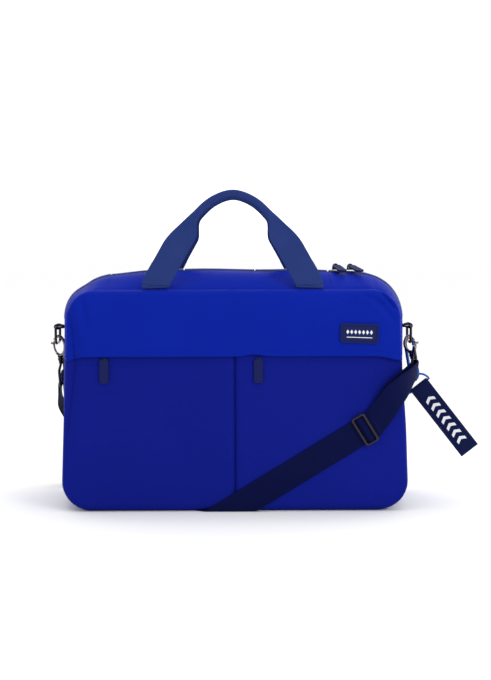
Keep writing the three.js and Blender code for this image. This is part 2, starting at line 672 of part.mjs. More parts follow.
// Hook frame: origin on the ring's wire, -Z along the swivel, X across the claw's opening.
const CLAW = { half: 8.5, rise: 15.5, wire: 3.4, top: 10.6, thickness: 4 };
const CLAW_MIDDLE = CLAW.top - CLAW.rise; // z of the middle of the oval
const GATE_LOW = THREE.MathUtils.degToRad(-48); // the stretch of the oval that opens
const GATE_HIGH = THREE.MathUtils.degToRad(38);

function ovalBand(from, to, inner = CLAW.wire, outer = 0) {
  const shape = new THREE.Shape();
  const [rx, rz] = [CLAW.half - outer, CLAW.rise - outer];
  shape.absellipse(0, CLAW_MIDDLE, rx, rz, from, to, false, 0);
  shape.absellipse(0, CLAW_MIDDLE, CLAW.half - inner, CLAW.rise - inner, to, from, true, 0);
  shape.closePath();
  return shape;
}

const POST_LOW = CLAW_MIDDLE - CLAW.rise - 6;
function hookBody() {
  const claw = slab(ovalBand(GATE_HIGH, GATE_LOW + 2 * Math.PI), -CLAW.thickness / 2, CLAW.thickness / 2, 20);
  const collar = new THREE.CylinderGeometry(3.6, 3.2, 7, 12).rotateX(Math.PI / 2);
  return toGeometry(toSolid(claw).add(toSolid(collar.translate(0, 0, POST_LOW + 3.5))));
}

function hookGate() {
  const lowSlack = THREE.MathUtils.degToRad(3);
  const highSlack = THREE.MathUtils.degToRad(10); // the free end swings in under the claw's tip
  const bar = slab(ovalBand(GATE_LOW + lowSlack, GATE_HIGH - highSlack, 3.1, 0.6), -1.5, 1.5, 8);
  const knob = block([CLAW.half - 1.8, -1.5, CLAW_MIDDLE + 2.5], [CLAW.half + 2.2, 1.5, CLAW_MIDDLE + 5.5]);
  return toGeometry(toSolid(bar).add(toSolid(knob)));
}

const EYE = { half: 19.4, wire: 1.7, neck: 2.6 };
function swivelEye() {
  const high = POST_LOW - GAP - EYE.neck;
  const corners = [
    vec(0, -EYE.half, high - 1),
    vec(0, EYE.half, high - 1),
    vec(0, EYE.half, -EYE_DISTANCE),
    vec(0, -EYE.half, -EYE_DISTANCE),
  ];
  const frame = wireLoop(polygonLoop(corners, 5), EYE.wire, vec(1, 0, 0), 36);
  const neck = new THREE.CylinderGeometry(2.4, 3, EYE.neck + 1.6, 12).rotateX(Math.PI / 2);
  neck.translate(0, 0, POST_LOW - GAP - (EYE.neck + 1.6) / 2);
  return toGeometry(toSolid(frame).add(toSolid(neck)));
}

for (const [name, hook] of Object.entries(HOOK)) {
  add(`ring_tab_${name}`, ringTab(hook.side), "strap");
  add(`side_ring_${name}`, sideRing(hook.side), "gunmetal");
  const frame = new THREE.Group();
  frame.position.copy(hook.claw);
  frame.rotation.x = hook.tilt;
  const outward = (geometry) => (hook.side < 0 ? mirrored(geometry) : geometry);
  add(`snap_hook_${name}`, outward(hookBody()), "gunmetal", frame);
  add(`hook_gate_${name}`, outward(hookGate()), "gunmetal", frame);
  add(`swivel_eye_${name}`, swivelEye(), "gunmetal", frame);
  bag.add(frame);
}

// ---- shoulder strap and adjuster -------------------------------------------------------------
add("shoulder_strap", webbing(strapStations()), "strap");

function adjusterGeometry() {
  const ring = roundedRectangle(18, 37.5, 3.4);
  ring.holes.push(roundedRectangle(12.4, 33.2, 1.4, THREE.Path));
  const frame = slab(ring, -1.3, 1.3, 3).rotateZ(THREE.MathUtils.degToRad(-6.5));
  const bar = new THREE.CylinderGeometry(1.2, 1.2, 36, 8).rotateX(Math.PI / 2).translate(0, 1.9, 0);
  return toGeometry(toSolid(frame).add(toSolid(bar)));
}
const adjuster = add("strap_adjuster", adjusterGeometry(), "gunmetal");
adjuster.position.set(ADJUSTER.x, LAYER_1 - 4.3, ADJUSTER.z);
adjuster.rotation.y = -STRAP_SLOPE;

// ---- carabiner and tag -----------------------------------------------------------------------
// Carabiner frame: origin at the top of its bend, -Z down its length, X across it.
const CARABINER = { half: 9, length: 55, wire: 2, turned: 50, lean: 9.5, y: 8 };
const hanging = new THREE.Group();
hanging.position.set(RING_X, CARABINER.y, RING_BOW_Z + 6.2);
hanging.rotation.set(0, THREE.MathUtils.degToRad(-CARABINER.lean), 0);
const facing = new THREE.Group();
facing.rotation.z = THREE.MathUtils.degToRad(CARABINER.turned);
hanging.add(facing);
bag.add(hanging);

function carabinerLine() {
  const { half, length } = CARABINER;
  const low = -length + half;
  const points = [vec(half, 0, -half - 4)];
  spread(0, Math.PI, 8).forEach((a) => points.push(vec(half * Math.cos(a), 0, -half + half * Math.sin(a))));
  spread(0, Math.PI, 8).forEach((a) => points.push(vec(-half * Math.cos(a), 0, low - half * Math.sin(a))));
  points.push(vec(half, 0, low + 4));
  const path = new THREE.CurvePath();
  points.slice(1).forEach((point, i) => path.add(new THREE.LineCurve3(points[i], point)));
  return path;
}

function wireAlong(path, radius, steps) {
  const section = new THREE.Shape().absarc(0, 0, radius, 0, 2 * Math.PI);
  return new THREE.ExtrudeGeometry(section, { extrudePath: path, steps, bevelEnabled: false, curveSegments: 8 });
}
add("carabiner", wireAlong(carabinerLine(), CARABINER.wire, 34), "blueMetal", facing);
const gateLength = CARABINER.length - 2 * CARABINER.half - 8;
const gate = new THREE.CylinderGeometry(1.6, 1.6, gateLength - 0.8, 8).rotateX(Math.PI / 2);
add("carabiner_gate", gate.translate(CARABINER.half, 0, -CARABINER.length / 2), "blueMetal", facing);

// Tag frame: origin at the middle of the tag ring's bar, -Z down the tag, X along the bar.
const TAG = { half: 12.8, length: 103, x: 231.5, z: 139.5, swing: 38, thickness: 1.4, ringRise: 15, ringWire: 1.3 };
const tagFrame = new THREE.Group();
tagFrame.position.set(TAG.x, CARABINER.y, TAG.z);
tagFrame.rotation.y = THREE.MathUtils.degToRad(-TAG.swing);
bag.add(tagFrame);

function tagRingCurve() {
  const path = new THREE.CurvePath();
  const half = TAG.half + 2.4;
  const points = spread(0, Math.PI, 14).map((a) => vec(half * Math.cos(a), 0, TAG.ringRise * Math.sin(a)));
  points.forEach((point, i) => path.add(new THREE.LineCurve3(point, points[(i + 1) % points.length])));
  return path;
}
add("tag_ring", wireLoop(tagRingCurve(), TAG.ringWire, vec(0, 1, 0), 32), "blueMetal", tagFrame);

function tagGeometry() {
  const half = vec(TAG.half, 0, 0);
  const radius = TAG.ringWire + GAP + TAG.thickness / 2;
  const pressed = TAG.thickness / 2 + 0.2;
  const round = spread(0, Math.PI, 6).map((a) => [vec(0, -radius * Math.cos(a), radius * Math.sin(a)), half]);
  const leg = (side) => [
    [vec(0, side * radius, -3), half],
    [vec(0, side * pressed, -12), half],
    [vec(0, side * pressed, -TAG.length), half],
  ];
  return webbing([...leg(-1).reverse(), ...round, ...leg(1)], TAG.thickness);
}
add("tag", tagGeometry(), "tag", tagFrame);

export default bag;
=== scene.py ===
from math import asin, copysign, cos, degrees, exp, hypot, pi, radians, sin, sqrt, tan

import bmesh
import bpy
import numpy as np
from mathutils import Matrix, Vector


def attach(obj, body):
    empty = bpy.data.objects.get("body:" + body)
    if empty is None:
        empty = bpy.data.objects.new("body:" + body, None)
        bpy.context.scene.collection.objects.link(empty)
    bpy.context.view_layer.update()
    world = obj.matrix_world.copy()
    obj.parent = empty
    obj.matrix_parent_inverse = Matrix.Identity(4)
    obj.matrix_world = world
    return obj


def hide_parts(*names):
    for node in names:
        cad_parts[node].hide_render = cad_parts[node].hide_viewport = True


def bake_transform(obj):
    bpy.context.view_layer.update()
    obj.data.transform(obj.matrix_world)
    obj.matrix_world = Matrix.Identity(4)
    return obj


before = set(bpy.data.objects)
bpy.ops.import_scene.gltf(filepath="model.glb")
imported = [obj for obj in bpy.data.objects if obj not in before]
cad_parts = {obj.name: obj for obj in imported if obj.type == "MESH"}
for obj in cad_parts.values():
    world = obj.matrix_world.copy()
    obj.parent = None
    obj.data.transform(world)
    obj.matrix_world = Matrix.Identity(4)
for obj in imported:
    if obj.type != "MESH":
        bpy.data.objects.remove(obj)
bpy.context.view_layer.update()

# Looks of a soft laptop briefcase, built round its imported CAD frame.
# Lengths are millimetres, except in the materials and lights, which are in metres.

MM = 0.001

# ---- driving dimensions, as in the CAD model ----
SHELL_HALF_DEPTH = 61
FRONT_SEAM_Y = -66  # where the front panels are sewn to the gussets
BACK_FACE = 66
POCKET_FACE = -80
LIP_FACE = -83.5
LIP_BOTTOM = 184
POCKET_TOP = LIP_BOTTOM + 3
POCKET_SEAM = 2
SEAM = {"half_low": 203, "half_high": 196, "top": 262, "low_radius": 34, "high_radius": 34}
MIDDLE = {"half_low": 211, "half_high": 207, "top": 284, "low_radius": 36, "high_radius": 60}
LID_LEFT, LID_RIGHT = -150, 117
HANDLE_FOOT, HANDLE_BASE, HANDLE_CREST = 91, 264, 381
HANDLE_LEAN = radians(16)
RING_X, RING_BAR_Z, RING_BOW_Z = 217, 215.5, 195.5
RING_HALF, RING_WIRE = 17.6, 1.6
EYE_DISTANCE = 54
STRAP_HALF = 16
WEBBING = 1.6
GAP = 0.3
ZIP_TOP = MIDDLE["top"] + 2.3

# ---- camera ----
CAMERA_TARGET = Vector((14.9, 0, 198))
CAMERA_DISTANCE = 1500
CAMERA_ELEVATION = radians(4)
CAMERA_ROLL = radians(-0.2)
CAMERA_LENS = 64.2


def scene_object(name, data):
    obj = bpy.data.objects.new(name, data)
    bpy.context.scene.collection.objects.link(obj)
    return obj


def make_camera():
    back = Vector((0, -cos(CAMERA_ELEVATION), sin(CAMERA_ELEVATION)))
    camera = scene_object("camera", bpy.data.cameras.new("camera"))
    camera.location = (CAMERA_TARGET + back * CAMERA_DISTANCE) * MM
    facing = (-back).to_track_quat("-Z", "Y").to_matrix().to_4x4()
    camera.rotation_euler = (facing @ Matrix.Rotation(CAMERA_ROLL, 4, "Z")).to_euler()
    camera.data.lens = CAMERA_LENS
    bpy.context.scene.camera = camera


make_camera()


# ---- node materials ----
class Look:
    """A material with its Principled shader and short calls that add nodes."""

    def __init__(self, name, color, roughness, **constants):
        self.material = bpy.data.materials.new(name)
        self.material.use_nodes = True
        self.tree = self.material.node_tree
        self.shader = self.tree.nodes["Principled BSDF"]
        self.color = color
        self.set("Base Color", (*color, 1))
        self.set("Roughness", roughness)
        for key, value in constants.items():
            self.set(key.replace("_", " "), value)

    def set(self, socket, value):
        self.shader.inputs[socket].default_value = value

    def node(self, kind, **inputs):
        node = self.tree.nodes.new(kind)
        for key, value in inputs.items():
            node.inputs[key.replace("_", " ")].default_value = value
        return node

    def link(self, source, target):
        self.tree.links.new(source, target)

    def place(self, scale=(1, 1, 1), turn=0, run=False):
        """Object coordinates in metres, or the piece's own width and length where run is set."""
        mapping = self.node("ShaderNodeMapping", Scale=scale, Rotation=(0, 0, turn))
        if run:
            source = self.node("ShaderNodeUVMap")
            source.uv_map = "run"
            self.link(source.outputs["UV"], mapping.inputs["Vector"])
        else:
            source = self.node("ShaderNodeTexCoord")
            self.link(source.outputs["Object"], mapping.inputs["Vector"])
        return mapping.outputs["Vector"]

    def noise(self, where, scale, detail=3):
        node = self.node("ShaderNodeTexNoise", Scale=scale, Detail=detail)
        self.link(where, node.inputs["Vector"])
        return node.outputs["Fac"]

    def bands(self, where, period, direction="X", distortion=0.0):
        """Waves with the given period in metres."""
        node = self.node("ShaderNodeTexWave", Scale=pi / 10 / period, Distortion=distortion)
        node.bands_direction = direction
        self.link(where, node.inputs["Vector"])
        return node.outputs["Fac"]

    def math(self, operation, first, second):
        """A Math node; each operand is a socket or a number."""
        node = self.node("ShaderNodeMath")
        node.operation = operation
        for socket, value in zip(node.inputs, (first, second)):
            if isinstance(value, (int, float)):
                socket.default_value = value
            else:
                self.link(value, socket)
        return node.outputs["Value"]

    def mix(self, first, second, share):
        """Weighted sum of two factors; share is the first one's weight."""
        return self.math("ADD", self.math("MULTIPLY", first, share), self.math("MULTIPLY", second, 1 - share))

    def tint(self, factor, low, high):
        """Multiplies the colour by a grey that runs from low to high with the factor."""
        ramp = self.node("ShaderNodeMix")
        ramp.data_type = "RGBA"
        ramp.inputs[6].default_value = (*(c * low for c in self.color), 1)
        ramp.inputs[7].default_value = (*(min(1, c * high) for c in self.color), 1)
        self.link(factor, ramp.inputs[0])
        self.link(ramp.outputs[2], self.shader.inputs["Base Color"])

    def rough(self, factor, low, high):
        """Roughness that runs from low to high with the factor."""
        node = self.node("ShaderNodeMapRange", To_Min=low, To_Max=high)
        self.link(factor, node.inputs["Value"])
        self.link(node.outputs["Result"], self.shader.inputs["Roughness"])

    def bump(self, height, depth, strength=1.0):
        """Depth is the height of the relief in metres."""
        node = self.node("ShaderNodeBump", Strength=strength, Distance=depth)
        self.link(height, node.inputs["Height"])
        last = self.shader.inputs["Normal"]
        if last.is_linked:
            self.link(last.links[0].from_socket, node.inputs["Normal"])
        self.link(node.outputs["Normal"], last)


# Periods of woven patterns, in metres.
TWILL_PERIOD, WARP_PERIOD, LINING_PERIOD = 0.0007, 0.0008, 0.0011
RIB_PERIOD, FINE_RIB_PERIOD = 0.0017, 0.0011


def coated_nylon(name, color):
    """Fine twill under a satin coating, with faint cloudiness."""
    look = Look(name, color, 0.42, IOR=1.06, Specular_Tint=(0.25, 0.45, 1.0, 1),
                Sheen_Weight=0.01, Sheen_Tint=(0.1, 0.25, 1.0, 1), Sheen_Roughness=0.35)
    here = look.place()
    look.tint(look.mix(look.noise(here, 9, 2), look.noise(here, 1400, 2), 0.7), 0.86, 1.14)
    look.rough(look.noise(here, 26, 3), 0.36, 0.52)
    rising = look.bands(look.place(turn=radians(45)), TWILL_PERIOD, distortion=0.6)
    falling = look.bands(here, TWILL_PERIOD, "Z", distortion=0.6)
    look.bump(look.math("MULTIPLY", rising, falling), 0.00004, 0.5)
    look.bump(look.noise(here, 70, 3), 0.00035, 0.25)
    return look.material


def ribbed_webbing(name, color, rib=RIB_PERIOD):
    """Webbing with ribs across it and warp threads along it."""
    look = Look(name, color, 0.7, IOR=1.12, Specular_Tint=(0.45, 0.55, 1.0, 1),
                Sheen_Weight=0.02, Sheen_Tint=(0.3, 0.42, 1.0, 1), Sheen_Roughness=0.5)
    run = look.place(run=True)
    ribs = look.bands(run, rib, "Y", distortion=0.4)
    warp = look.bands(run, WARP_PERIOD, "X", distortion=0.3)
    wear = look.noise(look.place(), 45, 4)
    weave = look.mix(ribs, warp, 0.65)
    look.tint(look.mix(weave, wear, 0.6), 0.66, 1.3)
    look.rough(weave, 0.78, 0.6)
    look.bump(weave, 0.0002, 0.8)
    return look.material


def polished_metal(name, color, roughness):
    """Plated metal with hairline scratches and slight smudges."""
    look = Look(name, color, roughness, Metallic=1.0)
    here = look.place()
    look.tint(look.noise(here, 30, 2), 0.85, 1.15)
    look.rough(look.noise(here, 90, 4), roughness * 0.7, roughness * 1.5)
    look.bump(look.noise(look.place(scale=(1, 1, 9)), 900, 2), 0.00002, 0.25)
    return look.material


def moulded_rubber(name, color):
    """Matte rubber with a fine spark texture."""
    look = Look(name, color, 0.5, IOR=1.3, Specular_Tint=(0.5, 0.6, 1.0, 1))
    here = look.place()
    look.tint(look.noise(here, 60, 3), 0.88, 1.12)
    look.rough(look.noise(here, 300, 3), 0.48, 0.62)
    look.bump(look.noise(here, 2600, 2), 0.00003, 0.4)
    return look.material


def woven_lining(name, color):
    """Plain weave, matt."""
    look = Look(name, color, 0.8, Specular_IOR_Level=0.25, Sheen_Weight=0.1, Sheen_Roughness=0.5)
    here = look.place()
    weave = look.math("MULTIPLY", look.bands(here, LINING_PERIOD, "X"), look.bands(here, LINING_PERIOD, "Z"))
    look.tint(look.math("ADD", look.math("MULTIPLY", weave, 0.6), look.noise(here, 18, 3)), 0.7, 1.25)
    look.bump(weave, 0.00015, 0.7)
    return look.material


def zip_plastic(name, color, roughness):
    """Glossy nylon coil."""
    look = Look(name, color, roughness, Specular_IOR_Level=0.6)
    look.tint(look.noise(look.place(), 400, 2), 0.8, 1.2)
    look.rough(look.noise(look.place(), 700, 2), roughness * 0.8, roughness * 1.3)
    return look.material


def pressed_board(name, color):
    """Fibre board with flecks."""
    look = Look(name, color, 0.75, Specular_IOR_Level=0.3)
    flecks = look.noise(look.place(), 260, 5)
    look.tint(flecks, 0.6, 1.6)
    look.bump(flecks, 0.00015, 0.5)
    return look.material


def printed_white(name):
    """Thick white print, slightly uneven."""
    look = Look(name, (0.78, 0.79, 0.82), 0.6, Specular_IOR_Level=0.3)
    look.tint(look.noise(look.place(), 500, 3), 0.86, 1.08)
    look.bump(look.noise(look.place(), 1500, 2), 0.00004, 0.4)
    return look.material


NYLON = coated_nylon("nylon", (0.0040, 0.0155, 0.285))
# Same nylon painted darker: painted shade for the pockets and the lower gusset.
NYLON_PAINTED_SHADE = coated_nylon("nylon_dark", (0.0062, 0.0118, 0.205))
# Same webbing as the strap, painted lighter: painted light from above on the handles.
HANDLE_WEB_PAINTED_LIGHT = ribbed_webbing("handle_webbing", (0.0200, 0.0370, 0.155))
STRAP_WEB = ribbed_webbing("strap_webbing", (0.0036, 0.0054, 0.043))
TAG_WEB = ribbed_webbing("tag_webbing", (0.0070, 0.0108, 0.052), FINE_RIB_PERIOD)
RUBBER = moulded_rubber("rubber", (0.0060, 0.0100, 0.074))
GUNMETAL = polished_metal("gunmetal", (0.032, 0.029, 0.034), 0.2)
CLAW_METAL = polished_metal("claw_metal", (0.24, 0.20, 0.21), 0.2)
BLUE_METAL = polished_metal("blue_metal", (0.025, 0.085, 0.33), 0.24)
TAPE = woven_lining("zip_tape", (0.006, 0.012, 0.10))
# Teeth painted lighter than their own blue: painted highlight for glints along the coil.
TEETH_PAINTED_GLINT = zip_plastic("zip_teeth_painted_glint", (0.10, 0.14, 0.38), 0.2)
LINING = woven_lining("lining", (0.012, 0.016, 0.05))
BOARD = pressed_board("board", (0.02, 0.02, 0.022))
THREAD = moulded_rubber("thread", (0.012, 0.022, 0.13))
WHITE = printed_white("white_print")


# ---- mesh helpers ----
def finish(obj, body, replaces=(), blend=None):
    """Parents the piece to the body that it moves with, or bakes its transform where a blend is given; hides
    the CAD nodes that it stands for.
    """
    if blend:
        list(blend)
        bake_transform(obj)
    else:
        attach(obj, body)
    if replaces:
        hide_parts(*replaces)


def mesh_object(name, points, faces, material, uvs=None):
    mesh = bpy.data.meshes.new(name)
    mesh.from_pydata([tuple(c * MM for c in p) for p in points], [], faces)
    mesh.materials.append(material)
    mesh.shade_smooth()
    if uvs is not None:
        layer = mesh.uv_layers.new(name="run")
        for loop in mesh.loops:
            layer.data[loop.index].uv = uvs[loop.vertex_index]
    return scene_object(name, mesh)


def orient(obj, away_from=None):
    """Faces point out of a closed mesh, or away from a point for an open sheet."""
    work = bmesh.new()
    work.from_mesh(obj.data)
    if away_from is None:
        bmesh.ops.recalc_face_normals(work, faces=work.faces)
    else:
        centre = Vector(away_from) * MM
        outward = sum(f.calc_area() * f.normal.dot(f.calc_center_median() - centre) for f in work.faces)
        if outward < 0:
            bmesh.ops.reverse_faces(work, faces=work.faces)
    work.to_mesh(obj.data)
    work.free()
    return obj


def modifier(obj, kind, **settings):
    made = obj.modifiers.new(kind.lower(), kind)
    for key, value in settings.items():
        setattr(made, key, value)
    return obj


def run_uvs(rows):
    """Width and length in metres along a grid of points."""
    grid = np.array(rows, float)
    across = np.linalg.norm(np.diff(grid, axis=1), axis=2)
    along = np.linalg.norm(np.diff(grid, axis=0), axis=2)
    u = np.concatenate([np.zeros((len(grid), 1)), np.cumsum(across, axis=1)], axis=1)
    v = np.concatenate([np.zeros((1, grid.shape[1])), np.cumsum(along, axis=0)], axis=0)
    return [(a * MM, b * MM) for a, b in zip(u.ravel(), v.ravel())]


BAG_CENTRE = (0, 0, 130)


def grid_faces(rows, columns, start=0, close_rows=False, close_columns=False):
    """Quads between points that are counted row by row from start."""
    faces = []
    for r in range(rows if close_rows else rows - 1):
        here, there = start + r * columns, start + (r + 1) % rows * columns
        for c in range(columns if close_columns else columns - 1):
            d = (c + 1) % columns
            faces.append((here + c, here + d, there + d, there + c))
    return faces


def add_bead(points, faces, rings):
    """Adds a small closed solid through rings of points."""
    start, count = len(points), len(rings[0])
    points += [p for ring in rings for p in ring]
    faces += grid_faces(len(rings), count, start, close_columns=True)
    last = len(points) - count
    faces += [tuple(start + k for k in range(count))[::-1], tuple(last + k for k in range(count))]


def sheet_piece(name, rows, material, thickness=2.2, away_from=BAG_CENTRE):
    """A fabric sheet through rows of points, thickened inwards."""
    faces = grid_faces(len(rows), len(rows[0]))
    obj = mesh_object(name, [p for row in rows for p in row], faces, material, run_uvs(rows))
    orient(obj, away_from)
    return modifier(obj, "SOLIDIFY", thickness=thickness * MM, offset=-1, use_even_offset=False)


def loft(name, sections, material, closed=False, uvs=None):
    """A closed skin through rings of points."""
    total, count = len(sections), len(sections[0])
    faces = grid_faces(total, count, close_rows=closed, close_columns=True)
    if not closed:
        faces += [tuple(range(count)), tuple((total - 1) * count + c for c in range(count))]
    points = [p for ring in sections for p in ring]
    return orient(mesh_object(name, points, faces, material, uvs or run_uvs(sections)))


def smooth_run(values, steps):
    """Centripetal Catmull-Rom through rows of numbers; the first three are the point."""
    points = [np.array(v, float) for v in values]
    points = [2 * points[0] - points[1], *points, 2 * points[-1] - points[-2]]
    knots = [0.0]
    for a, b in zip(points, points[1:]):
        knots.append(knots[-1] + max(np.linalg.norm((b - a)[:3]), 1e-3) ** 0.5)
    out = []
    for i in range(1, len(points) - 2):
        p, t = points[i - 1:i + 3], knots[i - 1:i + 3]
        for k in range(steps):
            u = t[1] + (t[2] - t[1]) * k / steps
            mix = lambda a, b, ta, tb: ((tb - u) * a + (u - ta) * b) / (tb - ta)
            a1, a2, a3 = (mix(p[j], p[j + 1], t[j], t[j + 1]) for j in range(3))
            b1, b2 = mix(a1, a2, t[0], t[2]), mix(a2, a3, t[1], t[3])
            out.append(mix(b1, b2, t[1], t[2]))
    return [*out, points[-2]]


def turns(count):
    """Angles of a full turn in equal steps."""
    return [2 * pi * k / count for k in range(count)]


def half_turn(steps):
    """Cosine and sine of the angles of half a turn."""
    return [(cos(a), sin(a)) for a in np.linspace(0, pi, steps)]


def tube(name, points, radius, material, normal, closed=False, sides=14, flatten=1.0):
    """Round wire along points; flatten stretches it along the given normal."""
    line = [Vector(p) for p in points]
    total = len(line)
    sections = []
    up = Vector(normal)
    for i, point in enumerate(line):
        before = line[i - 1] if closed or i else point
        after = line[(i + 1) % total] if closed or i + 1 < total else point
        along = (after - before).normalized()
        side = along.cross(up).normalized()
        lift = side.cross(along)
        size = radius(i / max(total - 1, 1)) if callable(radius) else radius
        ring = [point + side * (size * cos(a)) + lift * (size * flatten * sin(a)) for a in turns(sides)]
        sections.append([tuple(p) for p in ring])
    return loft(name, sections, material, closed)


def webbing_piece(name, stations, material, thickness=WEBBING, steps=3):
    """Flat webbing through stations (centre, half-width vector), with slightly thinner edges."""
    run = smooth_run([(*c, *h) for c, h in stations], steps)
    centres = [Vector(r[:3]) for r in run]
    halves = [Vector(r[3:]) for r in run]
    across = (-1, -0.93, -0.6, -0.2, 0.2, 0.6, 0.93, 1)
    sections = []
    for i, (centre, half) in enumerate(zip(centres, halves)):
        along = centres[min(i + 1, len(run) - 1)] - centres[max(i - 1, 0)]
        normal = along.cross(half).normalized() * (thickness / 2)
        face = lambda side: [centre + half * a + normal * side * (0.45 if abs(a) == 1 else 1) for a in across]
        sections.append([tuple(p) for p in face(1) + face(-1)[::-1]])
    return loft(name, sections, material)


def rounded_outline(width, height, radius, steps=6):
    """Corners of a rounded rectangle as (a, b) pairs, anticlockwise."""
    out = []
    for k, (sa, sb) in enumerate(((1, 1), (-1, 1), (-1, -1), (1, -1))):
        for i in range(steps + 1):
            angle = pi / 2 * (k + i / steps)
            out.append((sa * (width / 2 - radius) + radius * cos(angle),
                        sb * (height / 2 - radius) + radius * sin(angle)))
    return out


def plate(name, outline, low, high, material, bevel, place, hole=None):
    """An outline in X and Z, from y low to y high, with an optional hole and rounded edges."""
    n = len(outline)
    points = [(a, y, b) for ring in (outline, hole or ()) for y in (low, high) for a, b in ring]
    faces = grid_faces(2, n, close_columns=True)
    if hole:
        faces += grid_faces(2, n, 2 * n, close_columns=True)
        for face, start in ((0, 2 * n), (n, 3 * n)):
            faces += [(face + i, face + (i + 1) % n, start + (i + 1) % n, start + i) for i in range(n)]
    else:
        faces += [tuple(range(n)), tuple(range(n, 2 * n))]
    obj = mesh_object(name, [tuple(place @ Vector(p)) for p in points], faces, material)
    orient(obj)
    modifier(obj, "BEVEL", width=bevel * MM, segments=3, limit_method="ANGLE", angle_limit=radians(50))
    obj.data.set_sharp_from_angle(angle=radians(60))
    return obj


def joined(name, objects):
    """Applies the modifiers and joins the objects into one."""
    depsgraph = bpy.context.evaluated_depsgraph_get()
    work = bmesh.new()
    materials = []
    for obj in objects:
        mesh = bpy.data.meshes.new_from_object(obj.evaluated_get(depsgraph))
        for material in mesh.materials:
            if material not in materials:
                materials.append(material)
        index = [materials.index(m) for m in mesh.materials]
        start = len(work.faces)
        work.from_mesh(mesh)
        work.faces.ensure_lookup_table()
        for face in work.faces[start:]:
            face.material_index = index[face.material_index]
        bpy.data.meshes.remove(mesh)
    mesh = bpy.data.meshes.new(name)
    work.to_mesh(mesh)
    work.free()
    for material in materials:
        mesh.materials.append(material)
    for obj in objects:
        bpy.data.objects.remove(obj)
    return scene_object(name, mesh)


# ---- the shell's curved surface ----
# The outline is counted in steps from the middle of the floor (0) to the middle of the top (24).
LOW_ARC, SIDE_LINE, HIGH_ARC, TOP_LINE, TOP_MIDDLE = 2, 8, 13, 21, 24
LOWER_GUSSET_END = 8.306
SIDE_GUSSET_END = 14.206
ZIP_FOOT = 13.1
SIDE_SEAM_Z = 178
HALVINGS = 26


def outline_point(spec, index, inset=0.0):
    """A point (x, z) of the outline at an index; inset moves it inwards."""
    half_low, half_high = spec["half_low"] - inset, spec["half_high"] - inset
    low_radius, high_radius = spec["low_radius"] - inset, spec["high_radius"] - inset
    low_x, high_x, top = half_low - low_radius, half_high - high_radius, spec["top"] - inset
    a = min(abs(index), TOP_MIDDLE)
    if a <= LOW_ARC:
        x, z = low_x * a / LOW_ARC, inset
    elif a <= SIDE_LINE:
        angle = pi / 2 * ((a - LOW_ARC) / (SIDE_LINE - LOW_ARC) - 1)
        x, z = low_x + low_radius * cos(angle), inset + low_radius * (1 + sin(angle))
    elif a <= HIGH_ARC:
        t = (a - SIDE_LINE) / (HIGH_ARC - SIDE_LINE)
        x = half_low + (half_high - half_low) * t
        z = (inset + low_radius) * (1 - t) + (top - high_radius) * t
    elif a <= TOP_LINE:
        angle = pi / 2 * (a - HIGH_ARC) / (TOP_LINE - HIGH_ARC)
        x, z = high_x + high_radius * cos(angle), top - high_radius * (1 - sin(angle))
    else:
        x, z = high_x * (TOP_MIDDLE - a) / (TOP_MIDDLE - TOP_LINE), top
    return Vector((copysign(x, index), z))


def shell_point(index, v, inset=0.0):
    """A point of the gusset; v runs from -1 at the front seam to 1 at the rear seam."""
    flat = outline_point(SEAM, index, inset).lerp(outline_point(MIDDLE, index, inset), 1 - v * v)
    return Vector((flat.x, v * SHELL_HALF_DEPTH, flat.y))


def index_at(x, v):
    """Outline index at which the gusset has the given x, found by halving."""
    low, high = HIGH_ARC, TOP_MIDDLE
    for _ in range(HALVINGS):
        middle = (low + high) / 2
        if shell_point(middle, v).x > abs(x):
            low = middle
        else:
            high = middle
    return copysign(low, x)


def top_sag(x):
    """How far the unsupported top sinks towards its two corners."""
    right = 3.2 * smoothstep(x, 60, 140) * (1 - smoothstep(x, 160, 200))
    left = 6.5 * smoothstep(-x, 95, 165) * (1 - smoothstep(-x, 182, 206))
    return right + left


def smoothstep(value, low, high):
    t = min(max((value - low) / (high - low), 0.0), 1.0)
    return t * t * (3 - 2 * t)


def valley(distance, width):
    return exp(-(distance / width) ** 2)


def crease(x, z, start, end, width, depth):
    """Depth of a fold along the line from start to end, fading out at both ends."""
    a, b, p = np.array(start, float), np.array(end, float), np.array((x, z), float)
    line = b - a
    t = float(np.dot(p - a, line) / np.dot(line, line))
    off = abs(line[0] * (p - a)[1] - line[1] * (p - a)[0]) / np.linalg.norm(line)
    fade = smoothstep(t, -0.15, 0.25) * (1 - smoothstep(t, 0.75, 1.15))
    return depth * fade * valley(off, width)


def gusset_relief(index, v):
    """How far the fabric sinks below the smooth shell: seam rolls, long folds and dents."""
    x, _, z = shell_point(index, v)
    edge = (1 - abs(v)) * SHELL_HALF_DEPTH
    sink = 2.0 * exp(-edge / 2.2)
    upright = smoothstep(z, 30, 70) * (1 - smoothstep(z, 225, 262))
    sink += 2.2 * upright * valley(v + 0.72 + 0.05 * sin(z / 31), 0.13)
    sink += 1.4 * upright * valley(v - 0.55 - 0.07 * sin(z / 24 + 1), 0.16)
    sink += 0.5 * upright * sin(z / 17 + copysign(1, x)) * sin(v * 5)
    if abs(x) > 190:
        below = 1 - smoothstep(z, SIDE_SEAM_Z - 1, SIDE_SEAM_Z + 1)
        sink += 1.0 * valley(z - SIDE_SEAM_Z, 1.3) + 0.5 * below
    return sink


def lid_relief(x, v):
    """Dents of the top between and beside the handles."""
    sink = 0.9 * exp(-(1 - abs(v)) * SHELL_HALF_DEPTH / 2.2)
    sink += 1.6 * valley(abs(x) - 74, 26) * valley(abs(v) - 0.62, 0.26)
    sink += 0.7 * sin(x / 23 + 2 * v) * (1 - v * v)
    return sink + top_sag(x) * (1 - v ** 4)


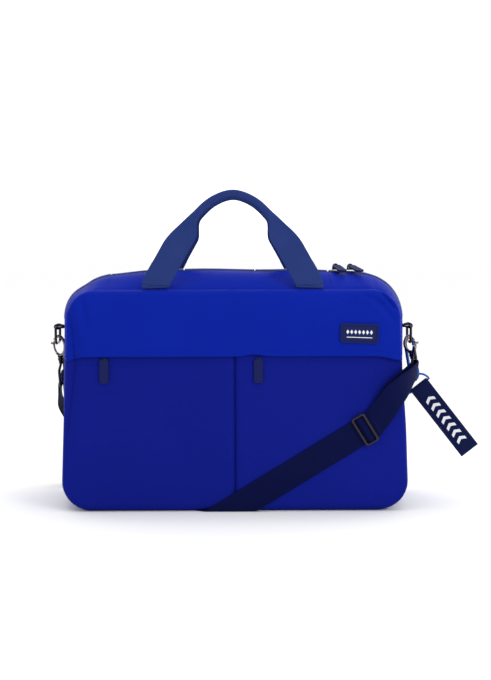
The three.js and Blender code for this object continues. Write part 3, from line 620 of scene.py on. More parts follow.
def corner_relief(index, v):
    """Runs from the gusset's relief into that of the top, with folds across the soft corner."""
    x, _, z = shell_point(index, v)
    lid_end = LID_RIGHT if x > 0 else -LID_LEFT
    share = 1 - smoothstep(abs(x), lid_end, lid_end + 34)
    side = gusset_relief(index, v) + top_sag(x) * (1 - v ** 4)
    folds = 1.3 * valley(abs(x) - 176 - 9 * v, 4) * smoothstep(abs(v), 0.15, 0.6)
    return side * (1 - share) + lid_relief(x, v) * share + folds * (1 - share)


SHELL_FABRIC = 2.0  # thickness of the gussets, top and pockets


def lined(obj, rim=True):
    """Shows the lining on the inner side of a thickened sheet."""
    obj.data.materials.append(LINING)
    obj.modifiers["solidify"].material_offset = 1
    obj.modifiers["solidify"].use_rim = rim
    return obj


def shell_sheet(name, ends, per_step, relief=gusset_relief):
    """Part of the gusset between two outline indices, each a number or a function of v."""
    first, last = (end if callable(end) else lambda v, end=end: end for end in ends)
    across = np.linspace(-1, 1, 31)
    steps = max(2, int(abs(last(0) - first(0)) * per_step))
    rows = []
    for k in range(steps + 1):
        indices = [first(v) + (last(v) - first(v)) * k / steps for v in across]
        rows.append([shell_point(i, v, relief(i, v)) for i, v in zip(indices, across)])
    return lined(sheet_piece(name, rows, NYLON, SHELL_FABRIC), rim=False)


def reach_along(points):
    """Distance from the first point of a line to each of its points."""
    reach = [0.0]
    for a, b in zip(points, points[1:]):
        reach.append(reach[-1] + (Vector(b) - Vector(a)).length)
    return reach


def locate(reach, distance):
    """The stretch of a line that a distance falls in, by its end, and the share of it."""
    past = next((i for i, r in enumerate(reach) if r > distance), len(reach) - 1)
    k = max(past, 1)
    return k, min(max((distance - reach[k - 1]) / max(reach[k] - reach[k - 1], 1e-6), 0), 1)


def stitches(name, points, normal, pitch=3.4, length=2.3, radius=0.32):
    """Short threads lying along a line; normal lifts them off the fabric."""
    line = [Vector(p) for p in points]
    reach = reach_along(line)
    up = Vector(normal).normalized()

    def at(distance):
        k, t = locate(reach, distance)
        return line[k - 1].lerp(line[k], t)

    verts, faces = [], []
    angles = [pi / 3 * a for a in range(6)]
    for s in range(int(reach[-1] / pitch)):
        centres = [at(s * pitch + length * f) for f in (0, 0.25, 0.75, 1)]
        along = (centres[-1] - centres[0]).normalized()
        side = along.cross(up).normalized()
        ways = [side * cos(a) + up * sin(a) for a in angles]
        sizes = zip(centres, (0.45, 1, 1, 0.45), (-0.3, 0.3, 0.3, -0.3))
        rings = [[c + way * radius * size + up * lift * radius for way in ways] for c, size, lift in sizes]
        add_bead(verts, faces, rings)
    return mesh_object(name, verts, faces, THREAD)


# ---- shell ----
LID_ENDS = ((1, "right", LID_RIGHT), (-1, "left", LID_LEFT))
lower = shell_sheet("lower_gusset", (-LOWER_GUSSET_END, LOWER_GUSSET_END), 7)
finish(lower, "bag", ["bottom_gusset"])
# Painted shade: the lower gusset takes the darker copy of the nylon.
lower.data.materials[0] = NYLON_PAINTED_SHADE
for side, word, lid_end in LID_ENDS:
    piece = shell_sheet(f"gusset_{word}", (side * LOWER_GUSSET_END, side * SIDE_GUSSET_END), 14)
    finish(piece, "bag", [f"side_gusset_{word}"])
    ends = (side * SIDE_GUSSET_END, lambda v, x=lid_end: index_at(x, v))
    piece = shell_sheet(f"corner_{word}", ends, 12, corner_relief)
    finish(piece, "bag", [f"top_corner_{word}"])


def outline_ring(inset=0.0, steps=5):
    """The panels' whole outline; steps is the number of points to an index."""
    count = TOP_MIDDLE * steps
    return [outline_point(SEAM, copysign(k / steps, k or 1), inset) for k in range(-count, count)]


def pillow(name, outline, y_low, y_high, roll, material, relief=None):
    """A closed pad: two faces whose edges roll in to a seam; relief says how far its faces sink."""
    centre = sum((Vector(p) for p in outline), Vector((0, 0))) / len(outline)
    reach = min((Vector(p) - centre).length for p in outline)
    shares = [1, 0.99, 0.975, 0.955, 0.93, 0.9, 0.84, 0.76, 0.66, 0.54, 0.4, 0.26, 0.12]
    middle, half = (y_low + y_high) / 2, (y_high - y_low) / 2
    points, faces, n = [], [], len(outline)
    for side in (-1, 1):
        for share in shares:
            edge = (1 - share) * reach
            rise = half * sqrt(max(0.04, 1 - max(0.0, 1 - edge / roll) ** 2))
            for p in outline:
                flat = centre + (Vector(p) - centre) * share
                dent = relief(flat.x, flat.y) * smoothstep(edge, 0, roll) if relief else 0
                points.append((flat.x, middle + side * (rise - dent), flat.y))
    face = len(shares) * n
    for start in (0, face):
        faces += grid_faces(len(shares), n, start, close_columns=True)
        faces.append(tuple(start + face - n + c for c in range(n)))
    faces += [(c, (c + 1) % n, face + (c + 1) % n, face + c) for c in range(n)]
    return orient(mesh_object(name, points, faces, material))


def back_relief(x, z):
    """Soft waves, and a hollow beside the sleeve."""
    waves = 0.9 * sin(x / 37 + 0.6) * sin(z / 33)
    return waves + 1.1 * valley(abs(x) - 118, 5) * smoothstep(z, 40, 90)


liner = pillow("front_liner", outline_ring(GAP), FRONT_SEAM_Y + 0.4, -SHELL_HALF_DEPTH - 0.2, 4, LINING)
finish(liner, "bag", ["front_panel"])
back = pillow("back_pad", outline_ring(), SHELL_HALF_DEPTH, BACK_FACE, 7, NYLON, back_relief)
finish(back, "bag", ["back_panel"])
WELTS = (
    ("front", 1 - SHELL_HALF_DEPTH, FRONT_SEAM_Y - 1.2),
    ("rear", SHELL_HALF_DEPTH - 1, BACK_FACE - 1.5),
)
for word, y_start, y_end in WELTS:
    rows = []
    for share in np.linspace(0, 1, 7):
        rise = 0.9 * sin(pi * share) - 0.5
        ring = outline_ring(-rise)
        rows.append([(p.x, y_start + (y_end - y_start) * share, p.y) for p in [*ring, ring[0]]])
    welt = sheet_piece(f"welt_{word}", rows, NYLON, 1.0)
    finish(welt, "bag")

board_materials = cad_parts["base_board"].data.materials
board_materials.clear()
board_materials.append(BOARD)


# ---- front: upper panel with its lip, and two pockets ----
def straight_width(z):
    """Half width of the panels' outline at a height, without the corner arcs."""
    low, high = SEAM["low_radius"], SEAM["top"] - SEAM["high_radius"]
    share = min(max((z - low) / (high - low), 0), 1)
    return SEAM["half_low"] + (SEAM["half_high"] - SEAM["half_low"]) * share


def corner_arc(level, distance):
    """Half chord of the low or high corner arc at a distance from its centre."""
    return sqrt(max(SEAM[level + "_radius"] ** 2 - distance ** 2, 0))


def half_width(z):
    """Half width of the panels' outline at a height."""
    low, high = SEAM["low_radius"], SEAM["top"] - SEAM["high_radius"]
    if low <= z <= high:
        return straight_width(z)
    level, distance = ("high", z - high) if z > high else ("low", low - z)
    return SEAM["half_" + level] - SEAM[level + "_radius"] + corner_arc(level, distance)


def side_roll(distance, radius):
    """Quarter-round from 0 at the edge to 1 at the radius."""
    t = min(max(distance / radius, 0.0), 1.0)
    return sqrt(max(1 - (1 - t) ** 2, 0.0))


# The groove beside the left gusset: its x at a few heights.
GROOVE_HEIGHTS = (64, 126, 175, 187, 215, 233, 262)
GROOVE_X = (-197, -190.5, -185, -185, -187, -190, -197)


def side_shape(x, z):
    """Roundness towards the sides; on the left a long groove sets off the edge by the gusset."""
    edge = half_width(z) - abs(x)
    if x > 0:
        return side_roll(edge, 5)
    inside = x - float(np.interp(z, GROOVE_HEIGHTS, GROOVE_X))
    low = 0.52 + 0.16 * valley(inside + 6, 4)
    rolled = low + (1 - low) * side_roll(inside, 15) if inside > 0 else low
    share = smoothstep(z, 50, 110)
    return side_roll(edge, 6) * (1 - share + rolled * share)


def lip_edge(x):
    """Height of the upper panel's lower edge."""
    middle = LIP_BOTTOM + 0.8 + 2.2 * valley(x - 25, 13)
    return middle - 5 * smoothstep(-x, 172, 197) - 5.5 * smoothstep(x, 166, 197)


# Creases: start and end as (x, z), width and depth.
UPPER_CREASES = (
    ((-178, 258), (-170, 214), 4.5, 2.4),
    ((-190, 242), (-180, 196), 3.0, 2.2),
    ((172, 259), (190, 238), 2.2, 3.6),
    ((166, 252), (189, 224), 4.0, 2.2),
    ((150, 257), (178, 244), 3.0, 1.5),
    ((-118, 252), (-60, 246), 9.0, 0.9),
    ((-20, 250), (60, 246), 10.0, 0.8),
)


def upper_depth(x, z):
    """How far the upper panel stands forward of the panel behind it."""
    full = abs(LIP_FACE - FRONT_SEAM_Y) - 0.4
    down = SEAM["top"] - z
    slope = 1 - (1 - min(max(down, 0) / 42, 1)) ** 2
    roll = 0.30 * (1 - exp(-max(down, 0) / 1.6)) + 0.70 * slope
    side = side_shape(x, z)
    sink = sum(crease(x, z, *c) for c in UPPER_CREASES)
    sink += 0.6 * (1 + sin(x / 47 + z / 29)) * smoothstep(down, 10, 40)
    sink += 0.5 * valley(z - lip_edge(x) - 5.5, 1.2)
    return full * roll * side - sink * side


def front_rows(x_low, x_high, z_low, z_high, depth, columns, lines, bunch):
    """Rows of points over a part of the front, from the top down; bunch above 1 crowds the lower rows."""
    rows = []
    for r in range(lines + 1):
        w = 1 - (1 - r / lines) ** bunch if bunch > 1 else r / lines
        row = []
        for c in range(columns + 1):
            s = x_low + (x_high - x_low) * c / columns
            u = sin(pi / 2 * s)
            low, high = z_low(u), z_high(u)
            z = high + (low - high) * w
            bulge = 2.2 + 2.3 * (1 - smoothstep(z, 90, 170)) if u > 0 else 1.0
            proud = bulge * smoothstep(abs(u), 0.7, 0.985) if c not in (0, columns) or abs(u) < 0.9 else 0
            x = copysign(abs(u) * straight_width(z) + proud, u)
            row.append((x, FRONT_SEAM_Y - 0.4 - depth(u * straight_width(z), z), z))
        rows.append(row)
    return rows


def to_seam(row):
    """The row carried back to the seam, so that no slit is left along the panel's edge."""
    return [(x, FRONT_SEAM_Y + 0.3, z) for x, y, z in row]


def top_of_panel(u):
    """Height of the panels' upper edge; u runs from -1 to 1 across them."""
    x = abs(u) * SEAM["half_high"]
    centre = SEAM["half_high"] - SEAM["high_radius"]
    if x <= centre:
        return SEAM["top"] - 0.3
    return SEAM["top"] - SEAM["high_radius"] + corner_arc("high", x - centre) - 0.3


def bottom_of_panel(u):
    """Height of the panels' lower edge."""
    x = abs(u) * SEAM["half_low"]
    centre = SEAM["half_low"] - SEAM["low_radius"]
    if x <= centre:
        return 0.4
    return SEAM["low_radius"] - corner_arc("low", x - centre) + 0.4


upper_rows = front_rows(-1, 1, lambda u: lip_edge(u * 197), top_of_panel, upper_depth, 150, 64, 1.5)
upper_rows.insert(0, to_seam(upper_rows[0]))
hem = [(x * 0.9995, y + 0.5, z - 0.55) for x, y, z in upper_rows[-1]]
upper_rows += [hem, [(x * 0.999, y + 1.6, z - 0.8) for x, y, z in upper_rows[-1]]]
upper = lined(sheet_piece("upper_panel", upper_rows, NYLON, 2.1, away_from=(0, 0, 200)))
finish(upper, "bag", ["upper_front_panel"])

LOW_CREASES = (
    ((-196, 24), (-183, 9), 1.8, 1.5),
    ((-198, 34), (-180, 30), 2.6, 0.8),
    ((196, 24), (183, 9), 1.8, 1.5),
    ((-120, 60), (-60, 100), 24.0, 0.9),
    ((-30, 30), (40, 60), 26.0, 0.9),
)


def pocket_depth(x, z):
    """How far a pocket stands forward of the panel behind it."""
    full = abs(POCKET_FACE - FRONT_SEAM_Y) - 0.4
    side = side_shape(x, z)
    bottom = side_roll(z - bottom_of_panel(x / SEAM["half_low"]) + 1.0, 9)
    sink = sum(crease(x, z, *c) for c in LOW_CREASES)
    sink += 0.35 * (1 + sin(x / 55 + 1) * sin(z / 41))
    sink += 2.4 * exp(-abs(x - POCKET_SEAM) / 1.8)
    sink += 1.6 * smoothstep(z, LIP_BOTTOM - 12, LIP_BOTTOM - 1)
    return full * side * bottom - sink * side * bottom


def pocket(name, share_low, share_high, node):
    top = lambda u: POCKET_TOP - 0.2
    rows = front_rows(share_low, share_high, bottom_of_panel, top, pocket_depth, 84, 60, 1)
    rows.append(to_seam(rows[-1]))
    # Painted shade: the pockets take the darker copy of the nylon.
    piece = lined(sheet_piece(name, rows[::-1], NYLON_PAINTED_SHADE, SHELL_FABRIC, away_from=(0, 0, 95)))
    finish(piece, "bag", [node])


SEAM_SHARE = 2 / pi * asin(POCKET_SEAM / 200)  # where the seam between the pockets lies
pocket("pocket_left", -1, SEAM_SHARE, "pocket_panel_left")
pocket("pocket_right", SEAM_SHARE, 1, "pocket_panel_right")


# ---- zips ----
TOOTH_WIDTH, TOOTH_PITCH = 2.6, 1.8
COIL_LIFT = 1.1
TAPE_START, TAPE_END = 0.4, 7.5  # distances from the zip's middle line
SIDES = ((-1, "front"), (1, "rear"))


def teeth(name, stations, shift=0.0, height=1.7):
    """Rounded teeth along stations (point, across, up), the first one a little past the shift."""
    verts, faces = [], []
    reach = reach_along([station[0] for station in stations])
    angles = [pi / 4 * (a + 0.5) for a in range(8)]
    levels = ((-0.5, 1.0), (0.15, 1.0), (0.5, 0.62))
    for s in range(int((reach[-1] - shift) / TOOTH_PITCH)):
        k, t = locate(reach, shift + (s + 0.5) * TOOTH_PITCH)
        centre, across, up = (Vector(a).lerp(Vector(b), t) for a, b in zip(stations[k - 1], stations[k]))
        across, up = across.normalized(), up.normalized()
        along = up.cross(across).normalized()
        ways = [across * cos(a) * TOOTH_WIDTH / 1.85 + along * sin(a) * TOOTH_PITCH * 0.36 for a in angles]
        rings = [[centre + way * size + up * height * level for way in ways] for level, size in levels]
        add_bead(verts, faces, rings)
    # The teeth's lightened colour is a painted highlight.
    return mesh_object(name, verts, faces, TEETH_PAINTED_GLINT)


def tape(name, stations, inner=TAPE_START, outer=TAPE_END):
    """Zip tape beside the teeth, from inner to outer along the across direction."""
    rows = []
    for point, across, up in stations:
        a, u = Vector(across).normalized(), Vector(up).normalized()
        at = lambda f, lift: Vector(point) + a * (inner + (outer - inner) * f) + u * lift
        rows.append([at(0, 0.1), at(0.3, 0.25), at(0.8, 0.1), at(1, -0.25)])
    return sheet_piece(name, rows, TAPE, 0.6)


def zip_side(prefix, suffix, side, stations, raised, node, body="bag", blend=None):
    """One side of the main zip; its teeth are half a pitch away from the other side's."""
    finish(tape(f"{prefix}_tape_{suffix}", stations), body, (), blend)
    coil = teeth(f"{prefix}_teeth_{suffix}", raised, 0 if side < 0 else TOOTH_PITCH / 2)
    finish(coil, body, [node], blend)


def top_z(v, inset):
    """Height of the flat stretch of the top, which sinks by the inset."""
    return SEAM["top"] + (MIDDLE["top"] - SEAM["top"]) * (1 - v * v) - inset


FLAP_REACH = 40
FLAT_TOP = 146  # the top is flat up to here, and bends down further out
POCKET_ZIP_Y = -76
FLAP_BREAKS = (LID_LEFT + GAP, -60, 27, LID_RIGHT - GAP)


def flap_bend(side, part):
    """Bodies and two end points of a blend from the bag to the flap, for a stretch of the top."""
    body = "front_flap" if side < 0 else "rear_flap"
    slope = (1 / 60, 0, -1 / 60)[part]
    gradient = Vector((slope, -side / FLAP_REACH, 0))
    start = Vector((FLAP_BREAKS[1] if part == 0 else FLAP_BREAKS[2], side * 63.5, 262))
    end = start + gradient / gradient.length_squared
    return ("bag", body, start * MM, end * MM)


for side, word in SIDES:
    for part, hand in enumerate(("left", "middle", "right")):
        x_low, x_high = FLAP_BREAKS[part], FLAP_BREAKS[part + 1]
        bend = flap_bend(side, part)
        rows = []
        for x in np.linspace(x_low, x_high, 34):
            row = []
            for v in np.linspace(0.006, 0.995, 24):
                if abs(x) > FLAT_TOP:
                    row.append(shell_point(index_at(x, side * v), side * v, lid_relief(x, side * v)))
                else:
                    row.append(Vector((x, side * v * SHELL_HALF_DEPTH, top_z(v, lid_relief(x, side * v)))))
            rows.append(row)
        sheet = sheet_piece(f"top_{word}_{hand}", rows, NYLON, SHELL_FABRIC, away_from=(0, 0, 100))
        finish(lined(sheet, rim=False), None, [f"top_flap_{word}"], bend)
        stations = [((x, side * TAPE_START, MIDDLE["top"] + 0.1 - lid_relief(x, 0)), (0, side, 0), (0, 0, 1))
                    for x in np.linspace(x_low, x_high, 30)]
        raised = [((p[0], side * 1.5, p[2] + COIL_LIFT), a, u) for p, a, u in stations]
        zip_side("zip", f"{word}_{part}", side, stations, raised, f"zip_chain_{word}", None, bend)

for side, word, lid_end in LID_ENDS:
    indices = np.linspace(abs(index_at(lid_end, 0)), ZIP_FOOT, 40)
    spine = [shell_point(side * i, 0, corner_relief(side * i, 0) - 0.3) for i in indices]
    ups = []
    for k, point in enumerate(spine):
        along = spine[min(k + 1, len(spine) - 1)] - spine[max(k - 1, 0)]
        up = along.cross(Vector((0, 1, 0))).normalized()
        ups.append(up if up.dot(point - Vector((0, 0, 100))) > 0 else -up)
    for depth, face in SIDES:
        stations = [(p + Vector((0, depth * TAPE_START, 0)), (0, depth, 0), u) for p, u in zip(spine, ups)]
        raised = [(p + Vector((0, depth * 0.9, 0)) + u * COIL_LIFT, a, u) for p, a, u in stations]
        zip_side("zip_end", f"{word}_{face}", depth, stations, raised, f"zip_end_{word}")

for word, x_low, x_high in (("left", -184, -3), ("right", 7, 184)):
    height = POCKET_TOP + 2.2
    along = np.linspace(x_low, x_high, 20)
    line = [((x, POCKET_ZIP_Y, height), (0, -1, 0), (0, 0, 1)) for x in along]
    finish(teeth(f"pocket_teeth_{word}", line, height=1.8), "bag", [f"pocket_zip_{word}"])
    for depth, face, outer in ((-1, "front", 4.0), (1, "back", 7.0)):
        line = [((x, POCKET_ZIP_Y, height - 0.8), (0, depth, 0), (0, 0, 1)) for x in along]
        finish(tape(f"pocket_tape_{word}_{face}", line, 0.6, outer), "bag")


# ---- sliders and pulls ----
def at_place(place, points):
    """The points of a part's own frame, in the bag's frame."""
    return [tuple(place @ Vector(p)) for p in points]


def direction(place, x, y, z):
    """A direction of a part's own frame, in the bag's frame."""
    return place.to_3x3() @ Vector((x, y, z))


def turned(x, y, z, *rotations):
    """A frame at a point, turned by (degrees, axis) pairs from the outside in."""
    place = Matrix.Translation((x, y, z))
    for angle, axis in rotations:
        place = place @ Matrix.Rotation(radians(angle), 4, axis)
    return place


def arch(name, half, low, high, radius, place):
    """Wire that stands up in an arch over its two feet."""
    points = [(-half, 0, low)]
    points += [(-half * c, 0, high - half + half * s) for c, s in half_turn(14)]
    points.append((half, 0, low))
    return tube(name, at_place(place, points), radius, GUNMETAL, direction(place, 0, 1, 0), sides=10)


def pull_tab(name, body, place, node, rise):
    """Moulded pull: rounded plate, raised rim and a ladder of grip bars, on a wire bail."""
    length, width, bars, spacing = 28, 10.5, 6, 3.5
    middle = place @ Matrix.Translation((0, 0, -length / 2 - 1))
    outline, hole = rounded_outline(width, length, 3), rounded_outline(width - 2.4, length - 2.4, 1.9)
    parts = [
        plate(f"{name}_core", outline, -0.8, 0.8, RUBBER, 0.3, middle),
        plate(f"{name}_rim", outline, -1.2, 1.2, RUBBER, 0.35, middle, hole),
    ]
    for k in range(bars):
        bar = middle @ Matrix.Translation((0, 0, (k - (bars - 1) / 2) * spacing))
        parts.append(plate(f"{name}_bar_{k}", rounded_outline(5.4, 1.5, 0.7, 3), -1.1, 1.1, RUBBER, 0.25, bar))
    finish(joined(name, parts), body, [node])
    finish(arch(f"{name}_bail", 2.6, -3.4, rise, 0.7, place), body)


def slider_body(name, body, x, y, z, node, bridge=True):
    """A base and a crown, with a bridge over them where the pull's bail shows."""
    lying = turned(x, y, z, (-90, "X"))
    parts = [
        plate(f"{name}_base", rounded_outline(10, 8, 2.4), -1.0, 0.0, GUNMETAL, 0.35, lying),
        plate(f"{name}_crown", rounded_outline(8.6, 6.4, 2.2), -2.3, -1.0, GUNMETAL, 0.5, lying),
    ]
    if bridge:
        parts.append(arch(f"{name}_bridge", 3.3, 1.6, 7.0, 0.85, turned(x, y, z, (12, "Z"))))
    finish(joined(name, parts), body, [node])


for word, x, heading in (("inner", 126, 35), ("outer", 144, 42)):
    drop = top_sag(x) - 0.8
    slider_body(f"slider_{word}", f"{word}_slider", x, 0, ZIP_TOP + GAP - drop, f"main_zip_{word}_slider")
    place = turned(x, 0, ZIP_TOP + 5.6 - drop, (heading - 20, "Z"), (-77, "X"))
    pull_tab(f"pull_{word}", f"{word}_pull", place, f"main_zip_{word}_pull", 2.2)
for word, x in (("left", -151), ("right", 30)):
    slider_body(f"pocket_slider_{word}", f"{word}_slider", x, POCKET_ZIP_Y + 0.5, POCKET_TOP + 4,
                f"{word}_pocket_slider", bridge=False)
    place = turned(x, POCKET_FACE - 1.6, LIP_BOTTOM - 2)
    pull_tab(f"pocket_pull_{word}", f"{word}_pull", place, f"{word}_pocket_pull", 0.4)


# ---- handles ----
# The handle's line as x and a share of its rise.
HANDLE_LINE = ((HANDLE_FOOT, 0), (HANDLE_FOOT, 0.04), (77, 0.28), (58, 0.58), (45, 0.76), (24, 0.93), (0, 1.0))
HALF_STEPS, RING_STEPS = 60, 28
GRIP_HALF, GRIP_THICK, FLAT_THICK = 4.9, 3.8, 1.25
THREAD_RISE = 3.0


def handle_sections():
    """Cross sections from foot to foot: flat webbing that folds into a rolled grip."""
    rise = HANDLE_CREST - HANDLE_BASE
    knots = [(x, 0, share * rise) for x, share in (*HANDLE_LINE, (-24, 0.93))]
    half = smooth_run(knots, 10)[:HALF_STEPS + 1]
    reach = np.concatenate([[0], np.cumsum([np.linalg.norm(b - a) for a, b in zip(half, half[1:])])])
    sections = []
    for i, (point, distance) in enumerate(zip(half, reach)):
        t = distance / reach[-1]
        along = Vector(half[i + 1] - half[max(i - 1, 0)]) if i < HALF_STEPS else Vector((-1, 0, 0))
        outward = Vector((along.z, 0, -along.x)).normalized()
        out_half = STRAP_HALF + (GRIP_HALF - STRAP_HALF) * smoothstep(t, 0.34, 0.70)
        in_half = STRAP_HALF + (GRIP_HALF - STRAP_HALF) * smoothstep(t, 0.47, 0.66)
        fold = smoothstep(t, 0.50, 0.68)
        thick = FLAT_THICK + (GRIP_THICK - FLAT_THICK) * fold
        cup = 2.6 * smoothstep(t, 0.30, 0.60) * (1 - fold)
        ring = []
        for angle in turns(RING_STEPS):
            c, s = cos(angle), sin(angle)
            a = copysign(abs(c) ** (0.32 + (0.85 - 0.32) * fold), c)
            b = copysign(abs(s) ** (0.45 + 0.45 * fold), s)
            sideways = a * (out_half if a > 0 else in_half)
            dip = -cup * (1 - a * a)
            ring.append(Vector(point) + outward * sideways + Vector((0, b * thick - dip, 0)))
        sections.append(ring)
    mirror = [[Vector((-p.x, p.y, p.z)) for p in ring] for ring in sections[:-1]]
    return sections + mirror[::-1]


def handle_uvs(sections):
    """Width and length of the handle in metres, the same on its front and back."""
    reach = 0.0
    out = []
    for k, ring in enumerate(sections):
        centre = sum((Vector(p) for p in ring), Vector()) / len(ring)
        if k:
            reach += (centre - last).length
        last = centre
        out += [((Vector(p) - centre).length * MM, reach * MM) for p in ring]
    return out


def handle(word, side, body):
    """A handle and the stitches at its two feet."""
    place = turned(0, side * (SHELL_HALF_DEPTH + 3), HANDLE_BASE, (side * degrees(HANDLE_LEAN), "X"))
    sections = [at_place(place, [(p.x, -side * p.y if side > 0 else p.y, p.z) for p in ring])
                for ring in handle_sections()]
    # The handle takes the webbing painted lighter, a painted light from above.
    piece = loft(f"handle_{word}", sections, HANDLE_WEB_PAINTED_LIGHT, uvs=handle_uvs(sections))
    finish(piece, body, [f"{word}_handle"])
    facing = direction(place, 0, side, 0)
    for foot, hand in ((-1, "left"), (1, "right")):
        middle = HANDLE_FOOT - THREAD_RISE * 0.33
        line = [(foot * (middle + k * 7), side * 1.5, THREAD_RISE) for k in range(-2, 3)]
        thread = stitches(f"handle_thread_{word}_{hand}_3", at_place(place, line), facing, 2.9, 2.0, 0.28)
        finish(thread, body)


handle("front", -1, "handle_front")
handle("rear", 1, "handle_rear")


# ---- patch ----
patch_frame = turned(148, 0, 211, (2, "Y"))
patch_low, patch_high = LIP_FACE - GAP - 1.6, LIP_FACE - GAP
mark_low, mark_high = patch_low + 0.6, patch_high - 0.2
core, rim, hole = rounded_outline(44.6, 22.6, 3.9), rounded_outline(45, 23, 4), rounded_outline(41, 19, 2.6)
patch_parts = [
    plate("patch_core", core, patch_low + 1.1, patch_high, RUBBER, 0.2, patch_frame),
    plate("patch_rim", rim, patch_low, patch_high, RUBBER, 0.45, patch_frame, hole),
]
lozenge = [(1.7, 0), (0, 2.7), (-1.7, 0), (0, -2.7)]
for k in range(7):
    spot = patch_frame @ Matrix.Translation(((k - 3) * 4.6, 0, 1.6))
    patch_parts.append(plate(f"patch_mark_{k}", lozenge, mark_low, mark_high, WHITE, 0.12, spot))
spot = patch_frame @ Matrix.Translation((0, 0, -4.6))
bar = rounded_outline(30, 0.8, 0.38, 3)
patch_parts.append(plate("patch_line", bar, mark_low, mark_high, WHITE, 0.1, spot))
finish(joined("patch", patch_parts), "bag", ["name_patch"])


# ---- side rings and hooks ----
def rounded_loop(corners, radius, steps=6):
    """Closed polygon with each corner rounded."""
    points = [Vector(c) for c in corners]
    out = []
    for i, corner in enumerate(points):
        before = (points[i - 1] - corner).normalized() * radius
        after = (points[(i + 1) % len(points)] - corner).normalized() * radius
        for k in range(steps + 1):
            t = k / steps
            out.append((corner + before) * (1 - t) ** 2 + corner * 2 * t * (1 - t) + (corner + after) * t ** 2)
        ahead = corner + after
        beyond = points[(i + 1) % len(points)]
        end = beyond + (corner - beyond).normalized() * radius
        out += [ahead.lerp(end, f) for f in (0.25, 0.5, 0.75)]
    return out


def lathe(name, profile, place, material, sides=24):
    """Turned part about the frame's Z axis; the profile is (radius, height) pairs."""
    rings = [[(r * cos(a), r * sin(a), z) for a in turns(sides)] for r, z in profile]
    return loft(name, [at_place(place, ring) for ring in rings], material)


CLAW_HALF, CLAW_RISE, CLAW_TOP, CLAW_WIRE = 8.5, 15.5, 10.6, 3.4
CLAW_MIDDLE = CLAW_TOP - CLAW_RISE
POST_LOW = CLAW_MIDDLE - CLAW_RISE - 6
# Side, the point where the hook hangs in its ring, and tilt in degrees.
HOOKS = {
    "right": (1, Vector((RING_X, -9, RING_BOW_Z)), -54),
    "left": (-1, Vector((-RING_X, 8, RING_BOW_Z)), 28),
}
# Radius and height of turned profiles: the collar above the post's foot, the neck below it.
COLLAR = ((2.2, 7.6), (3.3, 7), (3.6, 6), (2.9, 4.6), (2.9, 3.4), (3.5, 2.4), (3.5, 0.7), (3.0, 0))
NECK = ((2.2, 0), (2.7, 0.8), (2.4, 2.0), (3.0, 3.4), (2.2, 4.4))
EYE_HALF, EYE_WIRE = 19.4, 1.7


def oval(angle, side, inset):
    """A point of the hook's oval, in the hook's own frame."""
    a = radians(angle)
    return (side * (CLAW_HALF - inset) * cos(a), 0, CLAW_MIDDLE + (CLAW_RISE - inset) * sin(a))


for word, (side, claw, tilt) in HOOKS.items():
    x = side * RING_X
    corners = [(x, -RING_HALF, RING_BAR_Z), (x, RING_HALF, RING_BAR_Z),
               (x, RING_HALF - 1, RING_BOW_Z), (x, -RING_HALF + 1, RING_BOW_Z)]
    ring = tube(f"ring_{word}", rounded_loop(corners, 6), RING_WIRE, GUNMETAL, (1, 0, 0), closed=True)
    finish(ring, f"ring_{word}", [f"side_ring_{word}"])

    radius = RING_WIRE + GAP + WEBBING / 2
    flat = (0, 10.5, 0)
    root = MIDDLE["half_high"] + 1.6
    pinch = WEBBING / 2 + 0.15
    stations = [((side * (root + step), 0, RING_BAR_Z - pinch), flat) for step in (0, 2.2)]
    for a in np.linspace(-pi / 2, pi / 2, 9):
        stations.append(((side * (RING_X + radius * cos(a)), 0, RING_BAR_Z + radius * sin(a)), flat))
    stations += [((side * (root + step), 0, RING_BAR_Z + pinch), flat) for step in (2.2, 0)]
    tab = webbing_piece(f"tab_{word}", stations, STRAP_WEB)
    finish(tab, "bag", [f"ring_tab_{word}"])

    place = Matrix.Translation(claw) @ Matrix.Rotation(radians(tilt), 4, "X")
    facing = direction(place, 0, 1, 0)
    arc = at_place(place, [oval(d, side, CLAW_WIRE / 2) for d in np.linspace(40, 310, 60)])
    swell = lambda t: 1.55 + 0.3 * sin(pi * min(max(t, 0.02), 0.98)) ** 0.6
    parts = [
        tube(f"claw_{word}", arc, swell, CLAW_METAL, facing, flatten=1.2),
        lathe(f"collar_{word}", [(r, POST_LOW + up) for r, up in COLLAR], place, GUNMETAL),
    ]
    finish(joined(f"hook_{word}", parts), f"hook_{word}", [f"snap_hook_{word}"])

    arc = at_place(place, [oval(d, side, 2.0) for d in np.linspace(-44, 27, 18)])
    knob = [oval(12, side, 2.0), tuple(Vector(oval(13, side, 0)) + Vector((side * 1.9, 0, 0.5)))]
    parts = [
        tube(f"lever_{word}", arc, 1.25, CLAW_METAL, facing),
        tube(f"thumb_{word}", at_place(place, knob), 1.35, CLAW_METAL, facing),
    ]
    finish(joined(f"gate_{word}", parts), f"gate_{word}", [f"hook_gate_{word}"])

    low = POST_LOW - GAP
    high = low - 2.6 - 1
    corners = [(0, -EYE_HALF, high), (0, EYE_HALF, high),
               (0, EYE_HALF, -EYE_DISTANCE), (0, -EYE_HALF, -EYE_DISTANCE)]
    wire = at_place(place, rounded_loop(corners, 5))
    parts = [
        tube(f"eye_wire_{word}", wire, EYE_WIRE, GUNMETAL, direction(place, 1, 0, 0), closed=True),
        lathe(f"eye_neck_{word}", [(r, low - down) for r, down in NECK], place, GUNMETAL),
    ]
    finish(joined(f"eye_{word}", parts), "bag", [f"swivel_eye_{word}"])


